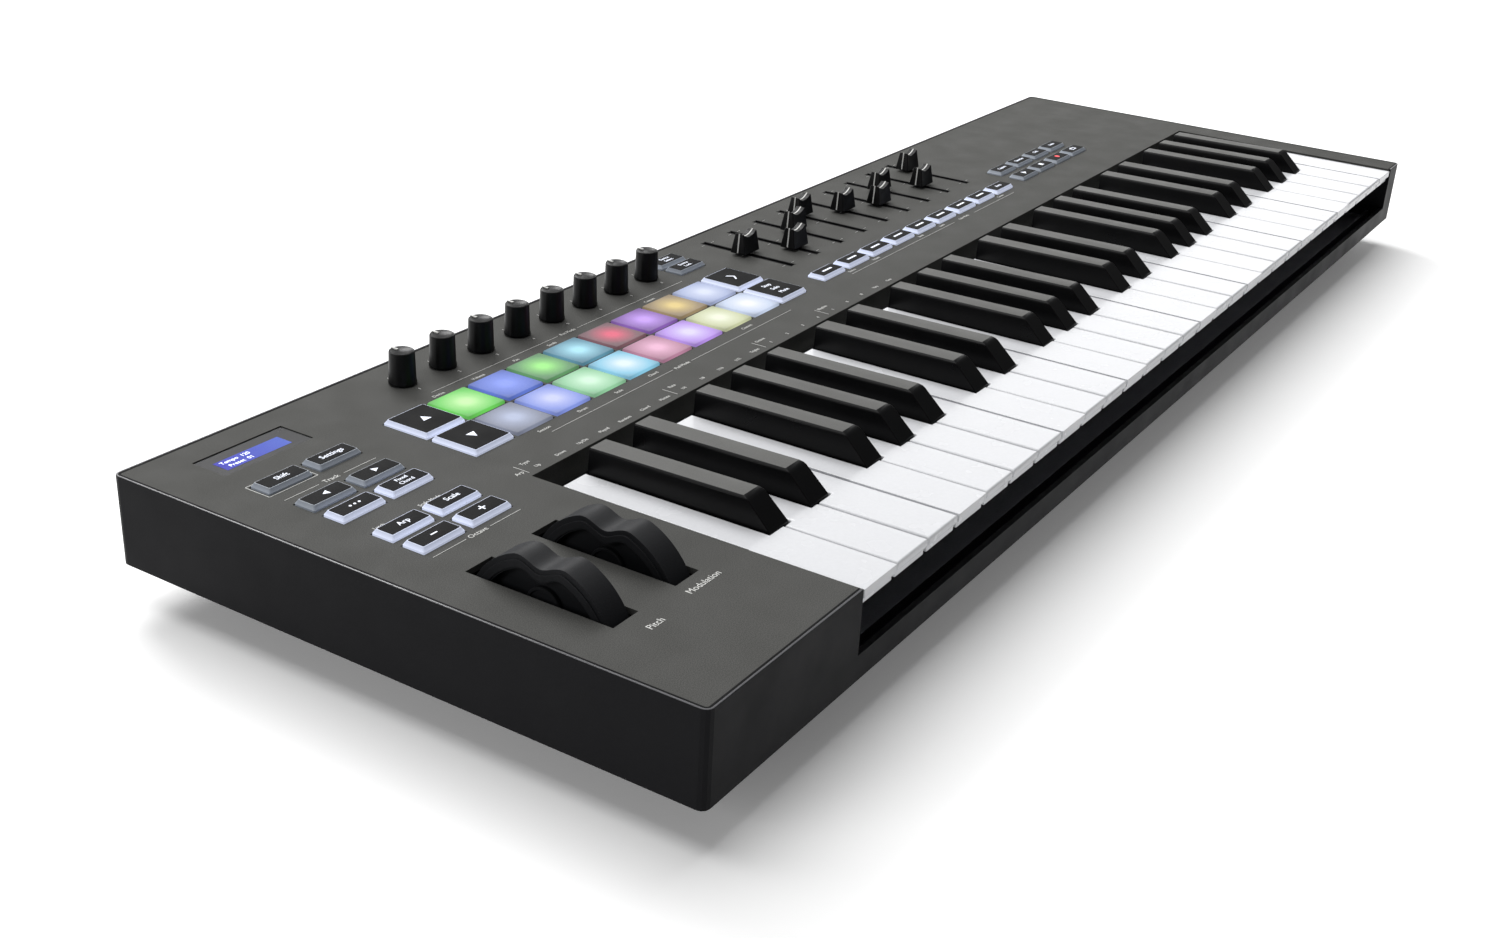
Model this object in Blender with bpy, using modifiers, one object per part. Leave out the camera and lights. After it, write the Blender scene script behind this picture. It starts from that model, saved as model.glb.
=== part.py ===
"""A 49-key synthesizer keyboard: case, top panel, keybed, wheels, knobs, faders, pads and buttons.

Every place below is in millimetres: x from the left face, y from the front face, z from the lower
edge of the side walls. point() turns such a place into the scene's metres, with the origin at the
middle of the footprint, on the surface that the feet stand on.
"""

import math

import bmesh
import bpy
from mathutils import Matrix, Vector

# Driving dimensions
MM = 0.001
WIDTH = 795.5
DEPTH = 257.0
WALL_HEIGHT = 35.7
GAP = 0.3

# Case and panel
WALL = 2.5
RIM = 1.0
CORNER_RADIUS = 3.0
PANEL_THICKNESS = 2.4
PANEL_BOTTOM = WALL_HEIGHT - PANEL_THICKNESS
BELLY_DEPTH = 13.7
BELLY_INSET = 25.0
BELLY_TAPER = 8.0
FOOT_HEIGHT = 3.0
FOOT_RADIUS = 8.0
FOOT_EDGE = 0.8
FOOT_INSET = BELLY_INSET + BELLY_TAPER + 14.0
FLOOR_DROP = BELLY_DEPTH + GAP + FOOT_HEIGHT
WELL_LEFT = 91.8
WELL_RIGHT = 775.4
WELL_BACK = 139.6
LIP_TOP = 10.2
PANEL_OVERHANG = 1.0
PANEL_FLANGE_BOTTOM = 25.0
PANEL_FLANGE_THICKNESS = 1.5

# Keys
KEY_PITCH = 23.5
OCTAVE = 7 * KEY_PITCH
OCTAVES = 4
KEYS_LEFT = 93.3
KEY_GAP = 1.0
KEY_FRONT = 0.6
KEY_BACK = 126.5
WHITE_TOP = 34.8
WHITE_BOTTOM = 28.4
BLACK_FRONT = 47.5
BLACK_TOP = 45.5
BLACK_REACH = 12.0
BLACK_FOOT = 30.0
BLACK_SHOULDER = (3.0, 1.6)
BLACK_ARCH = 1.0
NOTCH_FRONT = 46.0
NOTCH_CLEARANCE = 0.8
RISER_FRONT = 116.0
STEM_THICKNESS = 3.2
RAIL_FRONT = 186.0
PIVOT_Y = 190.0
RAIL_BACK = 194.0
RAIL_Z = {"sharps": 10.5, "naturals_b": 14.5, "naturals_a": 18.5}

# Controls on the panel
CONTROL_PITCH = 24.35
PAD_SIZE = 22.2
PAD_LEFT = 116.4
PAD_ROWS = (166.3, 190.7)
PAD_TOP = WALL_HEIGHT + 1.1
BUTTON_TOP = WALL_HEIGHT + 2.3
MAT_BOTTOM = 30.0
MAT_THICKNESS = 1.6
MAT_MARGIN = 1.6
NEIGHBOUR_MARGIN = 0.6
CAP_ROOT = 0.5
CAP_CLEARANCE = 0.4
SMALL_BUTTON = (21.0, 9.8)
CLUSTER_X = (32.8, 57.6)
CLUSTER_Y = (206.2, 184.5, 170.6, 148.0, 134.2)
DEVICE_BUTTONS = ((323.2, 241.5), (323.2, 230.0))
TRANSPORT_X = 598.2
TRANSPORT_PITCH = 24.5
TRANSPORT_Y = (187.3, 172.6)
KNOB_X = 127.5
KNOB_Y = 235.6
KNOB_RADIUS = 5.8
KNOB_TOP_RADIUS = 5.35
KNOB_BOTTOM = 36.2
KNOB_TOP = 50.2
SHAFT_RADIUS = 3.0
SHAFT_BOTTOM = 28.0
KNOB_CHAMFER = 0.6
FADER_X = 362.6
FADER_PITCH = 24.75
FADER_SLOT = (191.5, 245.9)
FADER_SLOT_WIDTH = 4.0
FADER_AT = (220.3, 206.0, 221.4, 232.4, 219.8, 210.7, 224.0, 209.8, 232.0)
FADER_CAP = (13.7, 7.9)
FADER_CAP_TAPER = 0.8
FADER_CAP_BOTTOM = 37.0
FADER_CAP_TOP = 46.8
FADER_STEM = (2.4, 5.0)
FADER_STEM_BOTTOM = 25.4
FADER_BUTTON_Y = 172.1

# Wheels
WHEEL_SLOTS = {"pitch_wheel": (21.6, 35.1), "modulation_wheel": (55.8, 69.5)}
WHEEL_SLOT_Y = (50.5, 110.8)
WHEEL_RADIUS = 30.6
WHEEL_HUB = 10.0
WHEEL_Y = 80.5
WHEEL_Z = 19.8
WHEEL_CLEARANCE = 0.7
GROOVE_DEPTH = 4.3
GROOVE_HALF_ANGLE = math.radians(20)
AXLE_RADIUS = 3.0
AXLE_SPAN = (11.0, 79.0)
BRACKET_PLATE_Y = (66.0, 95.0)
BRACKET_PLATE_THICKNESS = 1.2
EAR_Y = (72.0, 89.0)
EAR_TOP = 27.0
EAR_THICKNESS = 2.0
EARS_X = (13.0, 44.0, 75.0)

# Display and sockets
DISPLAY = (23.6, 225.0, 67.0, 242.4)
GLASS_BOTTOM = 31.9
GLASS_OVERLAP = 2.0
GLASS_TOP = WALL_HEIGHT - 0.4
MODULE_BOTTOM = 27.0
MODULE_OVERLAP = 1.0
SOCKET_Z = 16.0
USB_X, JACK_X, MIDI_X = 640.0, 668.0, 700.0
SOCKET_DEPTH = 17.0
USB_SIZE = (12.0, 11.0)
USB_MOUTH = (8.6, 7.8)
USB_MOUTH_DEPTH = 9.0
MIDI_RADIUS = 9.0
MIDI_MOUTH = 7.6
MIDI_MOUTH_DEPTH = 8.0
JACK_RADIUS = 5.6
JACK_MOUTH = 3.3
JACK_MOUTH_DEPTH = 14.0

# Chassis and circuit boards, which lie flat: (x0, y0), (x1, y1), height of the lower face
SHEET = 1.6
CHASSIS_FRONT = 8.0
CHASSIS_BACK = 199.0
CHASSIS_LIP_TOP = 8.0
CHASSIS_TOP = 22.5
CHASSIS_END_GAP = 2.0
BOARD_THICKNESS = 1.6
BOARDS = {
    "key_contact_board": ((100, 60), (768, 105), WALL + 2 * GAP + SHEET),
    "main_board": ((240, 60), (460, 190), WALL - BELLY_DEPTH + GAP),
    "left_control_board": ((12, 124), (78, 220), 26.0),
    "pad_sensor_board": ((92, 162), (336, 217), 26.0),
    "knob_board": ((118, 226), (334, 248), 26.0),
    "fader_board": ((350, 162), (574, 250), 23.2),
    "transport_board": ((584, 164), (688, 196), 26.0),
}

PARTS = "synthesizer"
CUTTERS = "cutters"


def clear_scene():
    for obj in list(bpy.data.objects):
        bpy.data.objects.remove(obj, do_unlink=True)
    for name in (PARTS, CUTTERS):
        collection = bpy.data.collections.new(name)
        bpy.context.scene.collection.children.link(collection)


def point(x, y, z):
    return Vector((x - WIDTH / 2, y - DEPTH / 2, z + FLOOR_DROP)) * MM


def material(name, color, roughness, metallic=0.0):
    found = bpy.data.materials.get(name)
    if found:
        return found
    made = bpy.data.materials.new(name)
    made.use_nodes = True
    shader = made.node_tree.nodes["Principled BSDF"]
    shader.inputs["Base Color"].default_value = (*color, 1.0)
    shader.inputs["Roughness"].default_value = roughness
    shader.inputs["Metallic"].default_value = metallic
    made.diffuse_color = (*color, 1.0)
    return made


def case_black():
    return material("case_black", (0.024, 0.024, 0.026), 0.45)


def panel_grey():
    return material("panel_grey", (0.090, 0.090, 0.087), 0.7)


def key_white():
    return material("key_white", (0.86, 0.86, 0.87), 0.25)


def key_black():
    return material("key_black", (0.03, 0.03, 0.032), 0.4)


def control_black():
    return material("control_black", (0.012, 0.012, 0.014), 0.25)


def wheel_rubber():
    return material("wheel_rubber", (0.028, 0.028, 0.031), 0.75)


def silicone():
    return material("silicone", (0.62, 0.68, 0.78), 0.5)


def circuit_green():
    return material("circuit_green", (0.02, 0.14, 0.05), 0.5)


def chassis_grey():
    return material("chassis_grey", (0.10, 0.10, 0.11), 0.6)


def steel():
    return material("steel", (0.55, 0.56, 0.58), 0.3, 1.0)


def display_glass():
    return material("display_glass", (0.02, 0.02, 0.03), 0.1)


def display_blue():
    return material("display_blue", (0.05, 0.12, 0.75), 0.4)


def foot_rubber():
    return material("foot_rubber", (0.02, 0.02, 0.02), 0.9)


def link(obj, collection, finish=None):
    bpy.data.collections[collection].objects.link(obj)
    if collection == CUTTERS:
        obj.hide_render = True
        obj.display_type = "WIRE"
    if finish:
        obj.data.materials.clear()
        obj.data.materials.append(finish)
    return obj


def add_box(bm, low, high):
    """A cube scaled to run from the place low to the place high."""
    low, high = point(*low), point(*high)
    size = high - low
    middle = Matrix.Translation((low + high) / 2)
    bmesh.ops.create_cube(bm, size=1.0, matrix=middle @ Matrix.Diagonal((*size, 1.0)))


def boxes(name, corners, collection, finish=None):
    """One object from a list of (low, high) boxes."""
    bm = bmesh.new()
    for low, high in corners:
        add_box(bm, low, high)
    mesh = bpy.data.meshes.new(name)
    bm.to_mesh(mesh)
    bm.free()
    return link(bpy.data.objects.new(name, mesh), collection, finish)


def rectangle(x0, y0, x1, y1):
    return [(x0, y0), (x1, y0), (x1, y1), (x0, y1)]


def rounded_rectangle(x0, y0, x1, y1, radius, steps=3):
    outline = []
    centres = ((x1 - radius, y1 - radius), (x0 + radius, y1 - radius))
    centres += ((x0 + radius, y0 + radius), (x1 - radius, y0 + radius))
    for quarter, (x, y) in enumerate(centres):
        for step in range(steps + 1):
            angle = (quarter + step / steps) * math.pi / 2
            outline.append((x + radius * math.cos(angle), y + radius * math.sin(angle)))
    return outline


def circle(x, y, radius, steps=16):
    turns = [2 * math.pi * step / steps for step in range(steps)]
    return [(x + radius * math.cos(turn), y + radius * math.sin(turn)) for turn in turns]


def prism(name, outlines, span, axis, collection, finish=None):
    """Outlines filled with their holes and extruded over span, along the axis Z, X or Y."""
    curve = bpy.data.curves.new(name, "CURVE")
    curve.dimensions = "2D"
    curve.fill_mode = "BOTH"
    curve.extrude = (span[1] - span[0]) / 2 * MM
    for outline in outlines:
        spline = curve.splines.new("POLY")
        spline.points.add(len(outline) - 1)
        for spot, (u, v) in zip(spline.points, outline):
            spot.co = (u * MM, v * MM, 0, 1)
        spline.use_cyclic_u = True
    guide = bpy.data.objects.new(name + "_outline", curve)
    bpy.context.scene.collection.objects.link(guide)
    graph = bpy.context.evaluated_depsgraph_get()
    mesh = bpy.data.meshes.new_from_object(guide.evaluated_get(graph))
    bpy.data.objects.remove(guide, do_unlink=True)
    bpy.data.curves.remove(curve)
    middle = (span[0] + span[1]) / 2
    turns = {
        "Z": (Matrix.Identity(4), point(0, 0, middle)),
        "X": (Matrix(((0, 0, 1, 0), (1, 0, 0, 0), (0, 1, 0, 0), (0, 0, 0, 1))), point(middle, 0, 0)),
        "Y": (Matrix(((1, 0, 0, 0), (0, 0, -1, 0), (0, 1, 0, 0), (0, 0, 0, 1))), point(0, middle, 0)),
    }
    turn, shift = turns[axis]
    mesh.transform(Matrix.Translation(shift) @ turn)
    mesh.name = name
    bm = bmesh.new()
    bm.from_mesh(mesh)
    bmesh.ops.remove_doubles(bm, verts=bm.verts, dist=0.00001)
    bmesh.ops.recalc_face_normals(bm, faces=bm.faces)
    bm.to_mesh(mesh)
    bm.free()
    return link(bpy.data.objects.new(name, mesh), collection, finish)


def boolean(obj, other, operation):
    """Joins or cuts obj with a helper object, whose own boxes may overlap each other."""
    modifier = obj.modifiers.new(other.name, "BOOLEAN")
    modifier.operation = operation
    modifier.object = other
    modifier.solver = "EXACT"
    modifier.use_self = operation == "UNION"


def cut(obj, other):
    boolean(obj, other, "DIFFERENCE")


def join(obj, other):
    boolean(obj, other, "UNION")


def set_origin(obj, place):
    """Moves a moving piece's origin onto its joint, and leaves its shape where it is."""
    origin = point(*place)
    obj.data.transform(Matrix.Translation(-origin))
    obj.location = origin
    return obj


def turned(name, profile, place, axis, finish, steps=20):
    """A profile of (radius, height) points turned about an axis through place."""
    mesh = bpy.data.meshes.new(name)
    spots = [(radius * MM, 0, height * MM) for radius, height in profile]
    mesh.from_pydata(spots, [(i, i + 1) for i in range(len(spots) - 1)], [])
    obj = link(bpy.data.objects.new(name, mesh), PARTS, finish)
    obj.location = point(*place)
    if axis == "X":
        obj.rotation_euler = (0, math.pi / 2, 0)
    if axis == "Y":
        obj.rotation_euler = (-math.pi / 2, 0, 0)
    screw = obj.modifiers.new("turn", "SCREW")
    screw.steps = steps
    screw.render_steps = steps
    screw.use_merge_vertices = True
    screw.merge_threshold = 0.00001
    return obj


# Case


def belly_mesh(name, inset, top, bottom, taper, collection):
    """The tapered tub under the walls: a box whose lower face is drawn in by taper."""
    low = (inset, inset, bottom)
    high = (WIDTH - inset, DEPTH - inset, top)
    tub = boxes(name, [(low, high)], collection)
    middle = (point(*low) + point(*high)) / 2
    for vertex in tub.data.vertices:
        if vertex.co.z < middle.z:
            for side in (0, 1):
                vertex.co[side] += taper * MM * (1 if vertex.co[side] < middle[side] else -1)
    return tub


def panel_outline(inset, overhang=0.0):
    """The U-shaped plate around the key well, reaching into the well by overhang."""
    left, right = inset, WIDTH - inset
    well_left, well_right = WELL_LEFT + overhang, WELL_RIGHT - overhang
    well_back = WELL_BACK - overhang
    outline = [(left, inset), (well_left, inset), (well_left, well_back)]
    outline += [(well_right, well_back), (well_right, inset), (right, inset)]
    radius = CORNER_RADIUS - inset
    top_corners = rounded_rectangle(left, inset, right, DEPTH - inset, radius)
    return outline + top_corners[: len(top_corners) // 2]


def case_cavities():
    """The hollows inside the walls, as (low, high) boxes."""
    far_x, far_y, high = WIDTH - WALL, DEPTH - WALL, WALL_HEIGHT + 1
    return {
        "left_hollow": ((WALL, WALL, WALL), (WELL_LEFT - WALL, far_y, high)),
        "rear_hollow": ((WELL_LEFT - WALL - 1, WELL_BACK, WALL), (far_x, far_y, high)),
        "key_hollow": ((WELL_LEFT, WALL, WALL), (WELL_RIGHT, WELL_BACK + 1, high)),
        "key_mouth": ((WELL_LEFT, -1, LIP_TOP), (WELL_RIGHT, WALL + 1, high)),
        "right_hollow": ((WELL_RIGHT + WALL, WALL, WALL), (far_x, WELL_BACK + 1, high)),
    }


def socket_holes():
    """Holes through the rear wall for the three sockets."""
    usb_x, usb_z = (half / 2 + GAP for half in USB_SIZE)
    usb = rectangle(USB_X - usb_x, SOCKET_Z - usb_z, USB_X + usb_x, SOCKET_Z + usb_z)
    jack = circle(JACK_X, SOCKET_Z, JACK_RADIUS + GAP)
    midi = circle(MIDI_X, SOCKET_Z, MIDI_RADIUS + GAP)
    span = (DEPTH - WALL - 1, DEPTH + 1)
    return prism("socket_holes", [usb, jack, midi], span, "Y", CUTTERS)


def base_case():
    outline = rounded_rectangle(0, 0, WIDTH, DEPTH, CORNER_RADIUS)
    case = prism("base_case", [outline], (0, WALL_HEIGHT), "Z", PARTS, case_black())
    join(case, belly_mesh("belly", BELLY_INSET, 1.0, -BELLY_DEPTH, BELLY_TAPER, CUTTERS))
    for name, (low, high) in case_cavities().items():
        cut(case, boxes(name, [(low, high)], CUTTERS))
    floor = WALL - BELLY_DEPTH
    cut(case, belly_mesh("belly_hollow", BELLY_INSET + WALL, WALL + 1, floor, BELLY_TAPER, CUTTERS))
    rebate = panel_outline(RIM, PANEL_OVERHANG)
    cut(case, prism("panel_rebate", [rebate], (PANEL_BOTTOM - GAP, WALL_HEIGHT + 1), "Z", CUTTERS))
    cut(case, socket_holes())


# Panel


def cluster_buttons():
    return [(x, y) for y in CLUSTER_Y for x in CLUSTER_X]


def fader_buttons():
    return [(FADER_X + index * FADER_PITCH, FADER_BUTTON_Y) for index in range(9)]


def transport_buttons():
    columns = [TRANSPORT_X + index * TRANSPORT_PITCH for index in range(4)]
    return [(x, y) for y in TRANSPORT_Y for x in columns]


def pads():
    """Corners of the 16 drum pads."""
    columns = [PAD_LEFT + index * CONTROL_PITCH for index in range(8)]
    return [(x, y) for y in PAD_ROWS for x in columns]


def centred(centres, size=SMALL_BUTTON):
    return [(x - size[0] / 2, y - size[1] / 2, x + size[0] / 2, y + size[1] / 2) for x, y in centres]


def cornered(corners):
    return [(x, y, x + PAD_SIZE, y + PAD_SIZE) for x, y in corners]


def cap_groups():
    """Each rubber mat's caps, as (x0, y0, x1, y1)."""
    before = PAD_LEFT - CONTROL_PITCH
    after = PAD_LEFT + 8 * CONTROL_PITCH
    return {
        "pad_mat": cornered(pads()),
        "left_button_mat": centred(cluster_buttons()),
        "scroll_button_mat": cornered([(before, y) for y in PAD_ROWS]),
        "scene_button_mat": cornered([(after, y) for y in PAD_ROWS]),
        "device_button_mat": centred(DEVICE_BUTTONS),
        "fader_button_mat": centred(fader_buttons()),
        "transport_button_mat": centred(transport_buttons()),
    }


def knob_places():
    return [(KNOB_X + index * CONTROL_PITCH, KNOB_Y) for index in range(8)]


def panel_holes():
    holes = [rectangle(*DISPLAY)]
    for x0, x1 in WHEEL_SLOTS.values():
        holes.append(rectangle(x0, WHEEL_SLOT_Y[0], x1, WHEEL_SLOT_Y[1]))
    for caps in cap_groups().values():
        for x0, y0, x1, y1 in caps:
            spread = CAP_CLEARANCE
            holes.append(rectangle(x0 - spread, y0 - spread, x1 + spread, y1 + spread))
    for x, y in knob_places():
        holes.append(circle(x, y, SHAFT_RADIUS + CAP_CLEARANCE, 12))
    for index in range(9):
        x = FADER_X + index * FADER_PITCH
        half = FADER_SLOT_WIDTH / 2
        holes.append(rectangle(x - half, FADER_SLOT[0], x + half, FADER_SLOT[1]))
    return holes


def top_panel():
    outlines = [panel_outline(RIM + GAP)] + panel_holes()
    panel = prism("top_panel", outlines, (PANEL_BOTTOM, WALL_HEIGHT), "Z", PARTS, panel_grey())
    low = (WELL_LEFT + GAP, WELL_BACK, PANEL_FLANGE_BOTTOM)
    high = (WELL_RIGHT - GAP, WELL_BACK + PANEL_FLANGE_THICKNESS, PANEL_BOTTOM + 1)
    join(panel, boxes("panel_flange", [(low, high)], CUTTERS))


# Keys


def tails():
    """Each semitone's span of the keybed behind the front of the sharps, from its octave's start."""
    lower = 3 * KEY_PITCH / 5
    upper = 4 * KEY_PITCH / 7
    edges = [index * lower for index in range(5)]
    edges += [3 * KEY_PITCH + index * upper for index in range(8)]
    return list(zip(edges[:-1], edges[1:]))


NATURALS = (0, 2, 4, 5, 7, 9, 11)
SHARPS = (1, 3, 6, 8, 10)


def key_stem(left, right, level, riser_top):
    """The bar from a key's back end down to its rail."""
    riser = ((left, RISER_FRONT, level), (right, KEY_BACK, riser_top))
    stem = ((left, RISER_FRONT, level), (right, RAIL_FRONT + 1, level + STEM_THICKNESS))
    return [riser, stem]


def natural_boxes(start, index, level, alone=False):
    """A white key: wide front, narrower back between the sharps, and its stem."""
    left = start + index * KEY_PITCH
    right = left + KEY_PITCH - KEY_GAP
    tail_left, tail_right = (start + edge for edge in tails()[NATURALS[index]])
    tail_left = max(tail_left + NOTCH_CLEARANCE / 2, left)
    tail_right = right if alone else min(tail_right - NOTCH_CLEARANCE / 2, right)
    front = ((left, KEY_FRONT, WHITE_BOTTOM), (right, NOTCH_FRONT, WHITE_TOP))
    back = ((tail_left, NOTCH_FRONT - 1, WHITE_BOTTOM), (tail_right, KEY_BACK, WHITE_TOP))
    stem_left, stem_right = tail_left + KEY_GAP, tail_right - KEY_GAP
    return [front, back] + key_stem(stem_left, stem_right, level, WHITE_BOTTOM + 1)


def sharp_profile():
    """A black key from its side: sloped front face, level top."""
    top_front = BLACK_FRONT + BLACK_REACH
    shoulder = (top_front - BLACK_SHOULDER[0], BLACK_TOP - BLACK_SHOULDER[1])
    front = [(BLACK_FRONT, BLACK_FOOT), (BLACK_FRONT, WHITE_TOP), shoulder, (top_front, BLACK_TOP)]
    return front + [(KEY_BACK, BLACK_TOP - BLACK_ARCH), (KEY_BACK, BLACK_FOOT)]


def rail(name, start, length, level, finish):
    low = (start, RAIL_FRONT, level)
    high = (start + length - KEY_GAP, RAIL_BACK, level + STEM_THICKNESS - GAP)
    return boxes(name, [(low, high)], PARTS, finish)


def pivot(obj, level, start, length):
    middle = level + (STEM_THICKNESS - GAP) / 2
    return set_origin(obj, (start + length / 2, PIVOT_Y, middle))


def naturals_comb(octave, row, indexes):
    level = RAIL_Z[f"naturals_{row}"]
    start = KEYS_LEFT + octave * OCTAVE
    name = f"white_keys_{row}_octave_{octave + 1}"
    comb = rail(name, start, OCTAVE, level, key_white())
    pieces = []
    for index in indexes:
        pieces += natural_boxes(start, index, level)
    join(comb, boxes(name + "_fingers", pieces, CUTTERS))
    pivot(comb, level, start, OCTAVE)


def sharps_comb(octave):
    level = RAIL_Z["sharps"]
    start = KEYS_LEFT + octave * OCTAVE
    name = f"black_keys_octave_{octave + 1}"
    comb = rail(name, start, OCTAVE, level, key_black())
    stems = []
    for index in SHARPS:
        left, right = (start + edge for edge in tails()[index])
        left, right = left + KEY_GAP, right - KEY_GAP
        stems += key_stem(left + KEY_GAP, right - KEY_GAP, level, BLACK_FOOT + 1)
        key = prism(f"{name}_{index}", [sharp_profile()], (left, right), "X", CUTTERS)
        join(comb, key)
    join(comb, boxes(name + "_stems", stems, CUTTERS))
    pivot(comb, level, start, OCTAVE)


def top_key():
    level = RAIL_Z["naturals_a"]
    start = KEYS_LEFT + OCTAVES * OCTAVE
    comb = rail("white_key_top", start, KEY_PITCH, level, key_white())
    join(comb, boxes("white_key_top_finger", natural_boxes(start, 0, level, alone=True), CUTTERS))
    pivot(comb, level, start, KEY_PITCH)


def keys():
    for octave in range(OCTAVES):
        naturals_comb(octave, "a", (0, 2, 4, 6))
        naturals_comb(octave, "b", (1, 3, 5))
        sharps_comb(octave)
    top_key()


# Inside the case


def keybed_chassis():
    """The sheet-metal tray that the keys hang in, with its upturned back wall."""
    floor = WALL + GAP
    inner_front, inner_back = CHASSIS_FRONT + SHEET, CHASSIS_BACK - SHEET
    profile = [(CHASSIS_FRONT, floor), (CHASSIS_BACK, floor), (CHASSIS_BACK, CHASSIS_TOP)]
    profile += [(inner_back, CHASSIS_TOP), (inner_back, floor + SHEET)]
    profile += [(inner_front, floor + SHEET), (inner_front, CHASSIS_LIP_TOP)]
    profile.append((CHASSIS_FRONT, CHASSIS_LIP_TOP))
    span = (WELL_LEFT + CHASSIS_END_GAP, WELL_RIGHT - CHASSIS_END_GAP)
    prism("keybed_chassis", [profile], span, "X", PARTS, chassis_grey())


def boards():
    for name, (low, high, level) in BOARDS.items():
        corners = ((*low, level), (*high, level + BOARD_THICKNESS))
        boxes(name, [corners], PARTS, circuit_green())


def under_display(name, overlap, bottom, top, finish):
    """A plate behind the panel's display opening."""
    x0, y0, x1, y1 = DISPLAY
    low = (x0 - overlap, y0 - overlap, bottom)
    high = (x1 + overlap, y1 + overlap, top)
    return boxes(name, [(low, high)], PARTS, finish)


def display():
    """The window, whose raised middle fills the opening, over the lit module."""
    glass_top = PANEL_BOTTOM - GAP
    module_top = GLASS_BOTTOM - GAP
    glass = under_display("display_window", GLASS_OVERLAP, GLASS_BOTTOM, glass_top, display_glass())
    x0, y0, x1, y1 = DISPLAY
    raised = ((x0 + GAP, y0 + GAP, glass_top - 1), (x1 - GAP, y1 - GAP, GLASS_TOP))
    join(glass, boxes("window_raised", [raised], CUTTERS))
    under_display("display_module", MODULE_OVERLAP, MODULE_BOTTOM, module_top, display_blue())


def socket_boxes():
    usb_x, usb_z = (size / 2 for size in USB_SIZE)
    mouth_x, mouth_z = (size / 2 for size in USB_MOUTH)
    front = DEPTH - SOCKET_DEPTH
    shell = [((USB_X - usb_x, front, SOCKET_Z - usb_z), (USB_X + usb_x, DEPTH - GAP, SOCKET_Z + usb_z))]
    usb = boxes("usb_socket", shell, PARTS, steel())
    low = (USB_X - mouth_x, DEPTH - USB_MOUTH_DEPTH, SOCKET_Z - mouth_z)
    high = (USB_X + mouth_x, DEPTH + 1, SOCKET_Z + mouth_z)
    cut(usb, boxes("usb_mouth", [(low, high)], CUTTERS))


def round_socket(name, x, outer, mouth, depth, finish):
    """A barrel along +Y, open at the back face of the case."""
    back = SOCKET_DEPTH - GAP
    profile = [(0, back - depth), (mouth, back - depth), (mouth, back)]
    profile += [(outer, back), (outer, 0), (0, 0)]
    turned(name, profile, (x, DEPTH - SOCKET_DEPTH, SOCKET_Z), "Y", finish, 24)


def sockets():
    socket_boxes()
    plastic = control_black()
    round_socket("midi_socket", MIDI_X, MIDI_RADIUS, MIDI_MOUTH, MIDI_MOUTH_DEPTH, plastic)
    round_socket("pedal_socket", JACK_X, JACK_RADIUS, JACK_MOUTH, JACK_MOUTH_DEPTH, plastic)


def feet():
    far_x, far_y = WIDTH - FOOT_INSET, DEPTH - FOOT_INSET
    places = {
        "foot_front_left": (FOOT_INSET, FOOT_INSET),
        "foot_front_right": (far_x, FOOT_INSET),
        "foot_rear_left": (FOOT_INSET, far_y),
        "foot_rear_right": (far_x, far_y),
    }
    profile = [(0, FOOT_HEIGHT), (FOOT_RADIUS, FOOT_HEIGHT), (FOOT_RADIUS, FOOT_EDGE)]
    profile += [(FOOT_RADIUS - FOOT_EDGE, 0), (0, 0)]
    for name, (x, y) in places.items():
        turned(name, profile, (x, y, -FLOOR_DROP), "Z", foot_rubber(), 24)


# Wheels, knobs and faders


def wheel_outline():
    """The upper half of a disc with a thumb groove, and a hub below, in y and z."""
    outline = []
    steps = 36
    for step in range(steps + 1):
        angle = math.pi * step / steps
        away = abs(angle - math.pi / 2) / GROOVE_HALF_ANGLE
        dip = GROOVE_DEPTH * (0.5 + 0.5 * math.cos(math.pi * away)) if away < 1 else 0.0
        radius = WHEEL_RADIUS - dip
        outline.append((WHEEL_Y + radius * math.cos(angle), WHEEL_Z + radius * math.sin(angle)))
    for step in range(9):
        angle = math.pi + math.pi * step / 8
        hub = (WHEEL_Y + WHEEL_HUB * math.cos(angle), WHEEL_Z + WHEEL_HUB * math.sin(angle))
        outline.append(hub)
    return outline


def wheels():
    bore = circle(WHEEL_Y, WHEEL_Z, AXLE_RADIUS + GAP, 24)
    for name, (x0, x1) in WHEEL_SLOTS.items():
        span = (x0 + WHEEL_CLEARANCE, x1 - WHEEL_CLEARANCE)
        wheel = prism(name, [wheel_outline(), bore], span, "X", PARTS, wheel_rubber())
        set_origin(wheel, (sum(span) / 2, WHEEL_Y, WHEEL_Z))


def wheel_axle():
    start, end = AXLE_SPAN
    profile = [(0, end - start), (AXLE_RADIUS, end - start), (AXLE_RADIUS, 0), (0, 0)]
    turned("wheel_axle", profile, (start, WHEEL_Y, WHEEL_Z), "X", steel(), 24)


def wheel_bracket():
    """A base plate with three ears that carry the axle."""
    floor = WALL + GAP
    low = (AXLE_SPAN[0], BRACKET_PLATE_Y[0], floor)
    high = (AXLE_SPAN[1], BRACKET_PLATE_Y[1], floor + BRACKET_PLATE_THICKNESS)
    bracket = boxes("wheel_bracket", [(low, high)], PARTS, chassis_grey())
    bore = circle(WHEEL_Y, WHEEL_Z, AXLE_RADIUS + GAP, 24)
    ear = rectangle(EAR_Y[0], floor + BRACKET_PLATE_THICKNESS / 2, EAR_Y[1], EAR_TOP)
    for index, x in enumerate(EARS_X):
        span = (x, x + EAR_THICKNESS)
        join(bracket, prism(f"bracket_ear_{index}", [ear, bore], span, "X", CUTTERS))


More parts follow.
